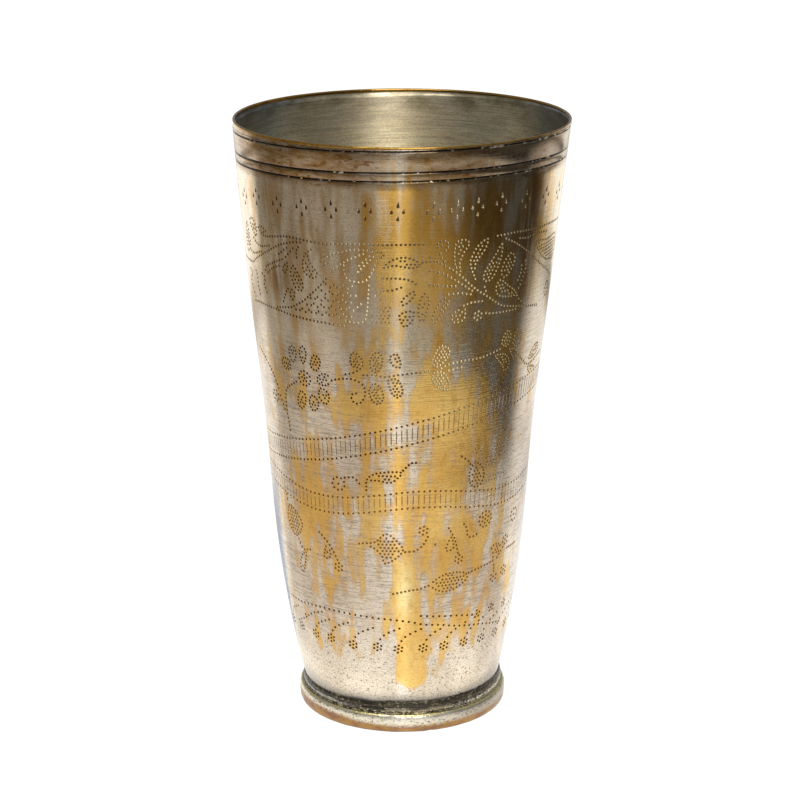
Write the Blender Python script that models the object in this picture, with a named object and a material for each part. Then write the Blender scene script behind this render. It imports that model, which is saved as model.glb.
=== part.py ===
"""Tall tapered drinking tumbler of tinned brass sheet, soldered into a turned foot ring.

Lengths are in metres, +Z is up, and the origin is the centre of the face that the foot rests on.
Every piece is turned about the Z axis from a closed outline of (radius, height) points.
"""

import math

import bmesh
import bpy

# Overall sizes of the wall
CUP_HEIGHT = 0.174
MOUTH_RADIUS = 0.0475
KNEE_HEIGHT = 0.055
KNEE_RADIUS = 0.0362
WALL_FOOT_RADIUS = 0.0281
WALL_THICKNESS = 0.0009

# Turned lines below the lip, each counted down from the one above
LIP_LINE_DROP = 0.0021
BAND_LINE_DROP = 0.0061
BAND_LINE_SPACING = 0.0025
LINE_WIDTH = 0.0008
LINE_DEPTH = 0.0003

# Foot ring
FOOT_HEIGHT = 0.0074
SEAT_HEIGHT = 0.0050
BEAD_HEIGHT = 0.0046
BEAD_OVERHANG = 0.00185
BEAD_EDGE_RADIUS = 0.0007
SHOULDER_LIP = 0.0004
LEDGE_WIDTH = 0.0025

# Floor and solder
FLOOR_THICKNESS = 0.0012
OUTER_SEAM_HEIGHT = 0.0012
INNER_SEAM_HEIGHT = 0.0020
INNER_SEAM_WIDTH = 0.0020
SEAM_EDGE = 0.0002

# Clearance between pieces that touch on the real object
FIT_GAP = 0.0003

# Fineness of the turned meshes
TURN_STEPS = 64
DRAW_IN_STEPS = 7
LIP_STEPS = 6
EDGE_STEPS = 3
SEAM_STEPS = 4
SHARP_ANGLE = math.radians(35)

# Heights that follow from the sizes above
WALL_BASE = SEAT_HEIGHT + FIT_GAP
FLOOR_TOP = WALL_BASE + FLOOR_THICKNESS


def wall_radius(height):
    """Outer radius of the wall: a straight taper that draws in along a parabola below the knee."""
    slope = (MOUTH_RADIUS - KNEE_RADIUS) / (CUP_HEIGHT - KNEE_HEIGHT)
    draw_in_height = KNEE_HEIGHT - WALL_BASE
    draw_in = KNEE_RADIUS - slope * draw_in_height - WALL_FOOT_RADIUS
    below_knee = max(0.0, KNEE_HEIGHT - height)
    return KNEE_RADIUS + slope * (height - KNEE_HEIGHT) - draw_in * (below_knee / draw_in_height) ** 2


def bore_radius(height):
    """Inner radius of the wall."""
    return wall_radius(height) - WALL_THICKNESS


def steps(start, end, count):
    """Evenly spaced values from start to end, both included."""
    return [start + (end - start) * i / count for i in range(count + 1)]


def arc(radius, height, size, start_degrees, end_degrees, count):
    """Points of a circular arc in the outline plane, from one angle to another."""
    angles = [math.radians(a) for a in steps(start_degrees, end_degrees, count)]
    return [(radius + size * math.cos(a), height + size * math.sin(a)) for a in angles]


def wall_outline():
    """Outline of the wall: up its outer face, over the lip and down the bore."""
    lip_line = CUP_HEIGHT - LIP_LINE_DROP
    upper_band_line = lip_line - BAND_LINE_DROP
    lower_band_line = upper_band_line - BAND_LINE_SPACING
    draw_in = steps(WALL_BASE, KNEE_HEIGHT, DRAW_IN_STEPS)
    outline = [(wall_radius(height), height) for height in draw_in]
    for line in (lower_band_line, upper_band_line, lip_line):
        outline.append((wall_radius(line - LINE_WIDTH / 2), line - LINE_WIDTH / 2))
        outline.append((wall_radius(line) - LINE_DEPTH, line))
        outline.append((wall_radius(line + LINE_WIDTH / 2), line + LINE_WIDTH / 2))
    lip_radius = WALL_THICKNESS / 2
    lip_height = CUP_HEIGHT - lip_radius
    outline += arc(wall_radius(lip_height) - lip_radius, lip_height, lip_radius, 0, 180, LIP_STEPS)
    outline += [(bore_radius(height), height) for height in reversed(draw_in)]
    return outline


def foot_outline():
    """Outline of the foot ring: its rest face, bead, shoulder, seat for the wall, ledge and bore."""
    bead_radius = wall_radius(FOOT_HEIGHT) + BEAD_OVERHANG
    edge_centre = bead_radius - BEAD_EDGE_RADIUS
    shoulder_radius = wall_radius(FOOT_HEIGHT) + FIT_GAP + SHOULDER_LIP
    ledge_radius = bore_radius(WALL_BASE) - LEDGE_WIDTH
    outline = [(ledge_radius, 0.0)]
    outline += arc(edge_centre, BEAD_EDGE_RADIUS, BEAD_EDGE_RADIUS, -90, 0, EDGE_STEPS)
    outline += arc(edge_centre, BEAD_HEIGHT - BEAD_EDGE_RADIUS, BEAD_EDGE_RADIUS, 0, 90, EDGE_STEPS)
    outline.append((shoulder_radius, FOOT_HEIGHT))
    outline.append((wall_radius(FOOT_HEIGHT) + FIT_GAP, FOOT_HEIGHT))
    outline.append((wall_radius(WALL_BASE) + FIT_GAP, SEAT_HEIGHT))
    outline.append((ledge_radius, SEAT_HEIGHT))
    return outline


def floor_outline():
    """Outline of the floor disc, which lies on the foot ring's ledge inside the wall."""
    radius = bore_radius(WALL_BASE) - FIT_GAP
    return [(0.0, WALL_BASE), (radius, WALL_BASE), (radius, FLOOR_TOP), (0.0, FLOOR_TOP)]


def seam_outline(face_radius, side, base, height, width):
    """Outline of a hollow fillet of solder against a face of the wall.

    face_radius gives the face's radius at a height, and side is 1 outside the wall or -1 inside it.
    """

    def point(away, level):
        return face_radius(level) + side * (FIT_GAP + away), level

    outline = [point(0.0, base), point(0.0, base + height)]
    for angle in steps(0.0, math.pi / 2, SEAM_STEPS):
        away = SEAM_EDGE + (width - SEAM_EDGE) * (1 - math.cos(angle))
        rise = SEAM_EDGE + (height - SEAM_EDGE) * (1 - math.sin(angle))
        outline.append(point(away, base + rise))
    outline.append(point(width, base))
    return outline


def turned_mesh(name, outline):
    """Mesh made by turning a closed outline once round the Z axis."""
    shape = bmesh.new()
    corners = [shape.verts.new((radius, 0.0, height)) for radius, height in outline]
    edges = [shape.edges.new((a, b)) for a, b in zip(corners, corners[1:] + corners[:1])]
    bmesh.ops.spin(
        shape,
        geom=corners + edges,
        axis=(0, 0, 1),
        cent=(0, 0, 0),
        angle=math.tau,
        steps=TURN_STEPS,
        use_merge=True,
    )
    bmesh.ops.remove_doubles(shape, verts=shape.verts, dist=FIT_GAP / 100)
    on_axis = [edge for edge in shape.edges if not edge.link_faces]
    bmesh.ops.delete(shape, geom=on_axis, context="EDGES")
    bmesh.ops.recalc_face_normals(shape, faces=shape.faces)
    mesh = bpy.data.meshes.new(name)
    shape.to_mesh(mesh)
    shape.free()
    mesh.shade_smooth()
    mesh.set_sharp_from_angle(angle=SHARP_ANGLE)
    return mesh


def metal(name, colour, roughness):
    """Bare or tinned metal with a linear base colour."""
    material = bpy.data.materials.new(name)
    material.use_nodes = True
    shader = material.node_tree.nodes["Principled BSDF"]
    shader.inputs["Base Color"].default_value = (*colour, 1.0)
    shader.inputs["Metallic"].default_value = 1.0
    shader.inputs["Roughness"].default_value = roughness
    return material


def add_piece(name, outline, material, parent):
    """One turned piece as its own object."""
    mesh = turned_mesh(name, outline)
    mesh.materials.append(material)
    piece = bpy.data.objects.new(name, mesh)
    piece.parent = parent
    bpy.context.scene.collection.objects.link(piece)
    return piece


def clear_scene():
    """Empties the scene."""
    for thing in list(bpy.data.objects):
        bpy.data.objects.remove(thing)


def build_tumbler():
    """Builds the tumbler's pieces under one empty on the turning axis."""
    axis = bpy.data.objects.new("tumbler_axis", None)
    bpy.context.scene.collection.objects.link(axis)

    worn_tin = metal("worn_tin_plating", (0.56, 0.45, 0.33), 0.32)
    add_piece("body_wall", wall_outline(), worn_tin, axis)

    inner_tin = metal("inner_tin_plating", (0.43, 0.38, 0.30), 0.40)
    add_piece("floor_disc", floor_outline(), inner_tin, axis)

    foot_brass = metal("foot_brass", (0.50, 0.36, 0.20), 0.38)
    add_piece("foot_ring", foot_outline(), foot_brass, axis)

    dark_solder = metal("dark_solder", (0.13, 0.12, 0.10), 0.45)
    seam_base = FOOT_HEIGHT + FIT_GAP
    outer_seam = seam_outline(wall_radius, 1, seam_base, OUTER_SEAM_HEIGHT, SHOULDER_LIP)
    add_piece("outer_solder_seam", outer_seam, dark_solder, axis)

    grey_solder = metal("grey_solder", (0.36, 0.34, 0.30), 0.42)
    seam_base = FLOOR_TOP + FIT_GAP
    inner_seam = seam_outline(bore_radius, -1, seam_base, INNER_SEAM_HEIGHT, INNER_SEAM_WIDTH)
    add_piece("inner_solder_seam", inner_seam, grey_solder, axis)


clear_scene()
build_tumbler()
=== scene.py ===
"""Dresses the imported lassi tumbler: worn tinned brass with a punched dot ornament on a soldered foot.

Lengths of the tumbler are in millimetres until a mesh is written in metres, and those of the studio are in
metres. Angles round the tumbler are in degrees from its front, which faces -Y, and grow towards +X.
"""

import logging
import math
from collections import defaultdict
from dataclasses import dataclass, field, replace
from enum import Enum
from typing import Any, Iterator, Sequence

import bmesh
import bpy
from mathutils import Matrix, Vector, noise
from mathutils.geometry import delaunay_2d_cdt


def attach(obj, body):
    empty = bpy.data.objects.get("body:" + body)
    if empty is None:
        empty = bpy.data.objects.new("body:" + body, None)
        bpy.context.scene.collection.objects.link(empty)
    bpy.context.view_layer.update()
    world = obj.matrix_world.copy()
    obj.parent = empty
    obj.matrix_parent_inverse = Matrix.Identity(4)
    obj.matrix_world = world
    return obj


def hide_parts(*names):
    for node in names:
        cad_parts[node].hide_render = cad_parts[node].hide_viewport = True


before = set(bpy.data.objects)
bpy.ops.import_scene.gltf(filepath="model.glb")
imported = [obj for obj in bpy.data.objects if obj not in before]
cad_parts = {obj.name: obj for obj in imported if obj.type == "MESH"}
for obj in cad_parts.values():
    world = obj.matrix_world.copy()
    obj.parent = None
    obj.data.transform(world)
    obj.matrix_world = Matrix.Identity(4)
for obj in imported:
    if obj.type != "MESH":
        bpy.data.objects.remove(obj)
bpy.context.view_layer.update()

MM = 0.001
HALVES = (0.0, 180.0)
BLACK = "#000000"
NOISE_MOST = (0.3, 0.7)
NOISE_ROUGHNESS = 0.55
QUARTER_TURN = 0.25
Spot = tuple[float, float]
Outline = tuple[Spot, ...]
Disc = tuple[float, float, float]
Bud = tuple[float, float, float, int]
Socket = bpy.types.NodeSocket
LOG = logging.getLogger("tumbler")


def linear(code: str) -> tuple[float, float, float, float]:
    """Turns an sRGB hex colour into a linear one.

    Args:
        code: colour such as "#C8B9A6".

    Returns:
        Red, green, blue and an alpha of one.
    """
    parts = [int(code[i:i + 2], 16) / 255 for i in (1, 3, 5)]
    red, green, blue = (p / 12.92 if p <= 0.04045 else ((p + 0.055) / 1.055) ** 2.4 for p in parts)
    return red, green, blue, 1.0


def metres(limits: Spot) -> Spot:
    """Turns two lengths from millimetres into metres."""
    return limits[0] * MM, limits[1] * MM


def smooth_step(low: float, high: float, value: float) -> float:
    """Gives 0 below low and 1 above high, with an eased rise between."""
    share = min(1.0, max(0.0, (value - low) / (high - low)))
    return share * share * (3 - 2 * share)


def smooth_step_down(low: float, high: float, value: float) -> float:
    """Gives 1 below low and 0 above high."""
    return 1.0 - smooth_step(low, high, value)


class Step(Enum):
    """Nodes that wire a finish: type, settings, inputs in the order that they are given in, and output."""

    PLACE = ("TexCoord", {}, (), "Object")
    ACROSS = ("SeparateXYZ", {}, (0,), 0)
    BACK = ("SeparateXYZ", {}, (0,), 1)
    UP = ("SeparateXYZ", {}, (0,), 2)
    LENGTH = ("VectorMath", {"operation": "LENGTH"}, (0,), "Value")
    READ = ("Attribute", {}, (), "Fac")
    SPREAD = ("Mapping", {"vector_type": "TEXTURE"}, ("Vector", "Scale", "Rotation"), 0)
    NOISE = ("TexNoise", {}, ("Vector", "Scale", "Detail", "Roughness", "Distortion"), 0)
    TIMES = ("Math", {"operation": "MULTIPLY"}, (0, 1), 0)
    OVER = ("Math", {"operation": "DIVIDE"}, (0, 1), 0)
    PLUS = ("Math", {"operation": "ADD"}, (0, 1), 0)
    MINUS = ("Math", {"operation": "SUBTRACT"}, (0, 1), 0)
    MOST = ("Math", {"operation": "MAXIMUM"}, (0, 1), 0)
    UNSIGNED = ("Math", {"operation": "ABSOLUTE"}, (0,), 0)
    TURN = ("Math", {"operation": "ARCTAN2"}, (0, 1), 0)
    RAMP = ("MapRange", {"interpolation_type": "SMOOTHSTEP"},
            ("Value", "From Min", "From Max", "To Min", "To Max"), 0)
    BANDS = ("ValToRGB", {}, ("Fac",), 0)
    GREY = ("CombineColor", {}, (0, 1, 2), 0)
    BLEND = ("Mix", {"data_type": "FLOAT"}, (0, 2, 3), 0)
    LAY = ("Mix", {"data_type": "RGBA", "blend_type": "MIX"}, (0, 6, 7), 2)
    DIM = ("Mix", {"data_type": "RGBA", "blend_type": "MULTIPLY"}, (0, 6, 7), 2)
    RELIEF = ("Bump", {}, ("Height", "Strength", "Distance"), 0)
    ROUND = ("Tangent", {"direction_type": "RADIAL", "axis": "Z"}, (), 0)


class Palette:
    """One material, with short ways to wire its patterns."""

    def __init__(self, name: str) -> None:
        """Starts a material with an empty shader.

        Args:
            name: name of the material.
        """
        self.material = bpy.data.materials.new(name)
        self.material.use_nodes = True
        self.tree = self.material.node_tree
        self.shader = self.tree.nodes["Principled BSDF"]
        self.place = self.add(Step.PLACE)

    def fill(self, socket: Socket, value: Any) -> None:
        """Fills or links an input.

        Args:
            socket: the input.
            value: a number, an sRGB hex colour or a socket to link from.
        """
        if isinstance(value, Socket):
            self.tree.links.new(value, socket)
        else:
            socket.default_value = linear(value) if isinstance(value, str) else value

    def add(self, step: Step, *values: Any, **settings: Any) -> Socket:
        """Adds a node with its settings, and fills or links its inputs.

        Args:
            step: the node.
            values: what its inputs get, and those without a value keep the node's own.
            settings: properties of the node beside the step's own.

        Returns:
            The node's output.
        """
        kind, own, inputs, output = step.value
        made = self.tree.nodes.new(f"ShaderNode{kind}")
        for name, value in (own | settings).items():
            setattr(made, name, value)
        for name, value in zip(inputs, values):
            self.fill(made.inputs[name], value)
        return made.outputs[output]

    def set(self, **inputs: Any) -> None:
        """Fills or links the shader's own inputs, named with underscores."""
        for name, value in inputs.items():
            self.fill(self.shader.inputs[name.replace("_", " ")], value)

    def grain(self, across: float, up: float, detail: float = 3.0, twist: float = 0.0,
              lean: float = 0.0) -> Socket:
        """Noise whose spots have a given size.

        Args:
            across: size of a spot round the tumbler, in millimetres.
            up: size of a spot along its height, in millimetres.
            detail: octaves of finer noise.
            twist: how far the spots are drawn out of shape.
            lean: degrees that the spots lean over, seen from the front.

        Returns:
            The noise's factor, about one half on average.
        """
        size = (across * MM, across * MM, up * MM)
        spread = self.add(Step.SPREAD, self.place, size, (0.0, math.radians(lean), 0.0))
        return self.add(Step.NOISE, spread, 1.0, detail, NOISE_ROUGHNESS, twist)

    def aside(self, limits: Spot, start: float = 0.0, end: float = 1.0) -> Socket:
        """Rise between two places from left to right, in millimetres."""
        return self.add(Step.RAMP, self.add(Step.ACROSS, self.place), *metres(limits), start, end)

    def upward(self, limits: Spot, start: float = 0.0, end: float = 1.0) -> Socket:
        """Rise between two heights, in millimetres."""
        return self.add(Step.RAMP, self.add(Step.UP, self.place), *metres(limits), start, end)

    def shine(self, colour: Any, strength: float) -> None:
        """Makes the material only shine, with a hex colour or a colour's socket."""
        self.set(Base_Color=BLACK, Roughness=1.0, Specular_IOR_Level=0.0, Emission_Color=colour,
                 Emission_Strength=strength)


@dataclass(frozen=True)
class WornTinnedBrass:
    """Brass sheet, hot tinned, then rubbed through in flame-shaped patches.

    The eye gets silvery tin with fine dark lathe lines, soft gold tongues where it is worn off, brown haze
    and dark punched pits. A pattern has the size of its spots across and up. Limits are in millimetres.
    """

    tin: str = "#EAE0D1"
    dull_tin: str = "#D8CDBD"
    # Colour of the painted reflection high on the right: greyer, less warm tin.
    cool_tin: str = "#D6CCBA"
    brass: str = "#EAC574"
    deep_brass: str = "#DEB25E"
    high_brass: str = "#CFA44C"
    # Colour of the painted highlight on the tongue.
    highlight_brass: str = "#F8E6A8"
    amber: str = "#C4924A"
    haze: str = "#8A5F38"
    tarnish: str = "#8A6426"
    spot_brown: str = "#7E5212"
    # Pit browns: partly dirt and partly painted shade of the hollow.
    pit: str = "#5C3A10"
    pale_pit: str = "#9C6E38"
    deep_pit: str = "#4E300E"
    # Gilt of clean pits, and the colour of the painted highlight in the turned lines.
    gilt_and_glint: str = "#FBEFC8"
    soot: str = "#1A1713"
    # Colour of the painted shade above the foot and on the rim band.
    shade: str = "#2B2F34"
    flame: Spot = (3.0, 15.0)
    patch: Spot = (8.0, 18.0)
    blotch: Spot = (0.9, 1.1)
    bloom: Spot = (2.0, 4.2)
    cloud: Spot = (14.0, 21.0)
    # Real lathe lines are too fine to show, so they are drawn as coarse as this.
    lathe: Spot = (8.5, 0.34)
    fleck: Spot = (1.7, 0.28)
    grit: Spot = (0.42, 0.36)
    speck: Spot = (0.62, 0.5)
    stain: Spot = (6.5, 1.6)
    spot: Spot = (2.6, 1.1)
    chip: Spot = (1.7, 2.2)
    soft_height: Spot = (112.0, 130.0)
    gold_height: Spot = (136.0, 152.0)
    cool_height: Spot = (98.0, 120.0)
    cool_aside: Spot = (-14.0, -1.0)
    pale_rise: Spot = (38.0, 48.0)
    pale_fall: Spot = (84.0, 70.0)
    deep_height: Spot = (92.0, 104.0)
    chipped_aside: Spot = (6.0, 26.0)
    mirror_height: Spot = (74.0, 100.0)
    lines_rise: Spot = (26.0, 38.0)
    lines_fall: Spot = (128.0, 104.0)
    grit_fall: Spot = (36.0, 24.0)
    ragged: tuple[float, ...] = (2.2, 0.5, 0.25, 0.10)
    half_worn: float = 1.91
    worn: Spot = (1.62, 2.20)
    halo_rise: Spot = (1.72, 1.88)
    halo_fall: Spot = (2.12, 1.94)
    roughness: Spot = (0.20, 0.27)
    gloss_pull: float = 0.6
    line_depth: float = 0.004

    def material(self) -> bpy.types.Material:
        """Wires the finish.

        Returns:
            The material of the wall's outside.
        """
        # Tin wiped over brass gives the eye satin silver, with gold below and soft streaks of light.
        use = Palette("worn_tinned_brass")
        flames = use.grain(*self.flame, 1.5, 0.2)
        blotches = use.grain(*self.blotch)
        clouds = use.grain(*self.cloud, 2.0)
        lathe = use.add(Step.RAMP, use.grain(*self.lathe, 1.0), 0.36, 0.50)
        flecks = use.grain(*self.fleck, 2.0)
        worn = use.add(Step.READ, attribute_name="brass_wear")
        for pattern, share in zip((flames, use.grain(*self.patch, 2.0), blotches, lathe), self.ragged):
            worn = use.add(Step.PLUS, worn, use.add(Step.TIMES, pattern, share))
        sharp = use.upward(self.soft_height, 1.0, 0.55)
        past = use.add(Step.MINUS, worn, self.half_worn)
        worn = use.add(Step.PLUS, use.add(Step.TIMES, past, sharp), self.half_worn)
        bare = use.add(Step.RAMP, worn, *self.worn, 0.05, 0.96)
        metal = use.add(Step.LAY, bare, self.tinned(use, clouds), self.bared(use, clouds))
        metal = use.add(Step.LAY, self.bloomed(use, worn, bare), metal, self.amber)
        hazed = use.add(Step.RAMP, flames, 0.35, 0.6)
        hazed = use.add(Step.TIMES, use.add(Step.READ, attribute_name="haze"), hazed)
        metal = use.add(Step.LAY, hazed, metal, self.haze)
        film = use.add(Step.READ, attribute_name="tarnish")
        stained = use.add(Step.RAMP, use.grain(*self.stain), 0.38, 0.68, 0.6, 0.95)
        metal = use.add(Step.LAY, use.add(Step.TIMES, film, stained), metal, self.tarnish)
        spotted = use.add(Step.RAMP, use.grain(*self.spot, 2.0), 0.57, 0.66, 0.0, 0.8)
        metal = use.add(Step.LAY, use.add(Step.TIMES, film, spotted), metal, self.spot_brown)
        tone = self.lined(use, lathe, flecks, bare)
        metal = use.add(Step.DIM, 1.0, metal, use.add(Step.GREY, tone, tone, tone))
        # Painted shade above the foot and on the rim band.
        metal = use.add(Step.LAY, use.add(Step.READ, attribute_name="shade"), metal, self.shade)
        # The pits' brown is partly dirt and partly painted shade of the hollow.
        pits = use.add(Step.RAMP, use.add(Step.READ, attribute_name="pit"), 0.0, 0.62)
        metal = use.add(Step.LAY, pits, metal, self.struck(use))
        metal = self.sooted(use, metal, clouds)
        rough = use.add(Step.RAMP, blotches, *NOISE_MOST, *self.roughness)
        rough = use.add(Step.TIMES, rough, use.upward(self.mirror_height, 1.0, 0.72))
        rough = use.add(Step.PLUS, rough, use.add(Step.TIMES, pits, 0.06))
        use.set(Base_Color=metal, Metallic=1.0, Roughness=rough)
        use.set(Tangent=use.add(Step.ROUND), Anisotropic=self.gloss_pull, Anisotropic_Rotation=QUARTER_TURN)
        use.set(Normal=use.add(Step.RELIEF, use.add(Step.PLUS, lathe, flecks), 1.0, self.line_depth * MM))
        return use.material

    def tinned(self, use: Palette, clouds: Socket) -> Socket:
        """Wires the tin's colour: cloudy, with a greyer painted reflection high on the right.

        Args:
            use: palette of the finish.
            clouds: broad noise.

        Returns:
            The colour.
        """
        # Painted reflection: the tin turns greyer and less warm high on the right.
        cool_reflection = use.add(Step.TIMES, use.upward(self.cool_height), use.aside(self.cool_aside))
        tin = use.add(Step.LAY, use.add(Step.RAMP, clouds, 0.38, 0.66), self.tin, self.dull_tin)
        return use.add(Step.LAY, cool_reflection, tin, self.cool_tin)

    def bared(self, use: Palette, clouds: Socket) -> Socket:
        """Wires the brass's colour: cloudy, deeper near the rim and with a painted highlight on the tongue.

        Args:
            use: palette of the finish.
            clouds: broad noise.

        Returns:
            The colour.
        """
        brass = use.add(Step.LAY, use.add(Step.RAMP, clouds, 0.35, 0.65), self.brass, self.deep_brass)
        brass = use.add(Step.LAY, use.upward(self.gold_height), brass, self.high_brass)
        # Painted highlight: pale brass on the tongue.
        return use.add(Step.LAY, use.add(Step.READ, attribute_name="painted_highlight"), brass, self.highlight_brass)

    def bloomed(self, use: Palette, worn: Socket, bare: Socket) -> Socket:
        """Wires the share of amber, in blooms on the bare brass and as a halo round it.

        Args:
            use: palette of the finish.
            worn: wear with its ragged edges.
            bare: share of bare brass.

        Returns:
            The share.
        """
        bloom = use.add(Step.RAMP, use.grain(*self.bloom, 3.0), 0.50, 0.68, 0.0, 0.42)
        halo = use.add(Step.RAMP, worn, *self.halo_rise)
        halo = use.add(Step.TIMES, halo, use.add(Step.RAMP, worn, *self.halo_fall, 0.0, 0.26))
        halo = use.add(Step.TIMES, halo, use.upward(self.soft_height, 1.0, 0.3))
        return use.add(Step.MOST, use.add(Step.TIMES, bloom, bare), halo)

    def struck(self, use: Palette) -> Socket:
        """Wires the pits' colour: brown, paler low down, darker high up and gilt where rubbed clean.

        Args:
            use: palette of the finish.

        Returns:
            The colour.
        """
        pale = use.add(Step.TIMES, use.upward(self.pale_rise), use.upward(self.pale_fall))
        # Pit browns are partly dirt and partly painted shade of the hollow.
        brown = use.add(Step.LAY, pale, self.pit, self.pale_pit)
        brown = use.add(Step.LAY, use.upward(self.deep_height), brown, self.deep_pit)
        deep = use.add(Step.RAMP, use.add(Step.READ, attribute_name="pit"), 0.22, 0.55)
        gilt = use.add(Step.TIMES, use.add(Step.READ, attribute_name="gilt"), deep)
        return use.add(Step.LAY, gilt, brown, self.gilt_and_glint)

    def sooted(self, use: Palette, metal: Socket, clouds: Socket) -> Socket:
        """Lays soot in the turned lines, broken where rubbed clean, with a painted highlight on the clean
        bits.

        Args:
            use: palette of the finish.
            metal: colour so far.
            clouds: broad noise.

        Returns:
            The colour with the soot.
        """
        broken = use.add(Step.PLUS, use.grain(*self.chip), use.add(Step.TIMES, clouds, 0.5))
        broken = use.add(Step.MINUS, broken, use.aside(self.chipped_aside, 0.0, 0.10))
        dirt = use.add(Step.READ, attribute_name="dirt")
        # Painted highlight: the clean bits of the turned lines get a pale cream glint.
        glint = use.add(Step.TIMES, dirt, use.add(Step.RAMP, broken, 0.60, 0.54, 0.0, 0.8))
        metal = use.add(Step.LAY, glint, metal, self.gilt_and_glint)
        black = use.add(Step.TIMES, dirt, use.add(Step.RAMP, broken, 0.60, 0.67))
        return use.add(Step.LAY, black, metal, self.soot)

    def lined(self, use: Palette, lathe: Socket, flecks: Socket, bare: Socket) -> Socket:
        """Wires the dark lathe lines, dashes and specks, which are faint near the rim and the foot.

        Args:
            use: palette of the finish.
            lathe: pattern of the lines, 0 in a line and 1 beside it.
            flecks: noise that gives the dashes.
            bare: share of bare brass, on which the lines are fainter.

        Returns:
            A number to multiply the metal by.
        """
        spread = use.upward(self.lines_fall, 0.25, 1.0)
        spread = use.add(Step.TIMES, spread, use.upward(self.lines_rise, 0.3, 1.0))
        faint = use.add(Step.BLEND, bare, 1.0, 0.4)
        depth = use.add(Step.TIMES, spread, use.add(Step.BLEND, bare, 0.33, 0.08))
        lines = use.add(Step.MINUS, 1.06, use.add(Step.TIMES, use.add(Step.MINUS, 1.0, lathe), depth))
        dashes = use.add(Step.RAMP, flecks, 0.58, 0.66, 0.0, 0.45)
        dashes = use.add(Step.TIMES, use.add(Step.TIMES, dashes, spread), faint)
        tone = use.add(Step.TIMES, lines, use.add(Step.MINUS, 1.0, dashes))
        grit = use.add(Step.RAMP, use.grain(*self.grit, 2.0), 0.36, 0.64, 0.80, 1.10)
        specks = use.add(Step.RAMP, use.grain(*self.speck, 1.0), 0.70, 0.60, 0.35, 1.0)
        grit = use.add(Step.TIMES, grit, specks)
        gritty = use.add(Step.TIMES, use.upward(self.grit_fall, 0.45, 1.0), faint)
        return use.add(Step.TIMES, tone, use.add(Step.BLEND, gritty, 1.0, grit))


@dataclass(frozen=True)
class InnerTin:
    """Dull lathe-turned tin plating: grey olive, fine rings and stains, painted blue shade at the sides."""

    tin: str = "#F8E8C6"
    dull: str = "#E8D7B2"
    # Colour of the painted shade at the sides of the bore.
    blue: str = "#A0A8AC"
    stain: str = "#5E563C"
    # Real lathe lines and scratches are too fine to show, so they are drawn as coarse as this.
    lathe: Spot = (12.0, 0.36)
    scratch: Spot = (14.0, 0.34)
    scratch_leans: Spot = (-38.0, 24.0)
    cloud: Spot = (9.0, 5.0)
    grit: Spot = (0.6, 0.5)
    middle: float = 3.0
    painted_blue_sides: Spot = (27.0, 43.0)
    painted_dim_sides: Spot = (8.0, 32.0)
    stain_height: Spot = (166.0, 173.0)
    painted_light_height: Spot = (172.0, 148.0)
    roughness: Spot = (0.33, 0.40)
    gloss_pull: float = 0.4
    ring_depth: float = 0.010

    def material(self) -> bpy.types.Material:
        """Wires the finish.

        Returns:
            The material of the cup's inside.
        """
        # Turned tin that no hand polishes gives the eye a dull grey olive with fine rings.
        use = Palette("dull_inner_tin")
        lathe = use.grain(*self.lathe, 3.0)
        clouds = use.grain(*self.cloud)
        grit = use.grain(*self.grit)
        aside = use.add(Step.MINUS, use.add(Step.ACROSS, use.place), self.middle * MM)
        aside = use.add(Step.UNSIGNED, aside)
        metal = use.add(Step.LAY, use.add(Step.RAMP, clouds, 0.38, 0.62), self.tin, self.dull)
        # Painted shade: the bore turns blue grey towards the sides.
        metal = use.add(Step.LAY, use.add(Step.RAMP, aside, *metres(self.painted_blue_sides)), metal, self.blue)
        high = use.upward(self.stain_height, 0.0, 0.22)
        stained = use.add(Step.RAMP, use.add(Step.PLUS, clouds, high), 0.58, 0.92, 0.0, 0.6)
        stained = use.add(Step.MOST, stained, use.add(Step.RAMP, grit, 0.66, 0.74, 0.0, 0.6))
        metal = use.add(Step.LAY, stained, metal, self.stain)
        tone = use.add(Step.RAMP, lathe, 0.40, 0.58, 0.84, 1.09)
        tone = use.add(Step.TIMES, tone, use.add(Step.RAMP, grit, 0.36, 0.64, 0.89, 1.11))
        for lean in self.scratch_leans:
            scratches = use.grain(*self.scratch, 1.0, 0.0, lean)
            tone = use.add(Step.TIMES, tone, use.add(Step.RAMP, scratches, 0.31, 0.37, 0.89, 1.01))
        # Painted light and shade: brighter lower down, darker towards the mouth.
        tone = use.add(Step.TIMES, tone, use.upward(self.painted_light_height, 0.80, 1.30))
        # Painted shade: dimmer towards the sides.
        tone = use.add(Step.TIMES, tone, use.add(Step.RAMP, aside, *metres(self.painted_dim_sides), 1.0, 0.82))
        rough = use.add(Step.RAMP, clouds, *NOISE_MOST, *self.roughness)
        metal = use.add(Step.DIM, 1.0, metal, use.add(Step.GREY, tone, tone, tone))
        use.set(Base_Color=metal, Metallic=1.0, Roughness=rough)
        use.set(Tangent=use.add(Step.ROUND), Anisotropic=self.gloss_pull, Anisotropic_Rotation=QUARTER_TURN)
        use.set(Normal=use.add(Step.RELIEF, use.add(Step.PLUS, lathe, grit), 1.0, self.ring_depth * MM))
        return use.material


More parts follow.
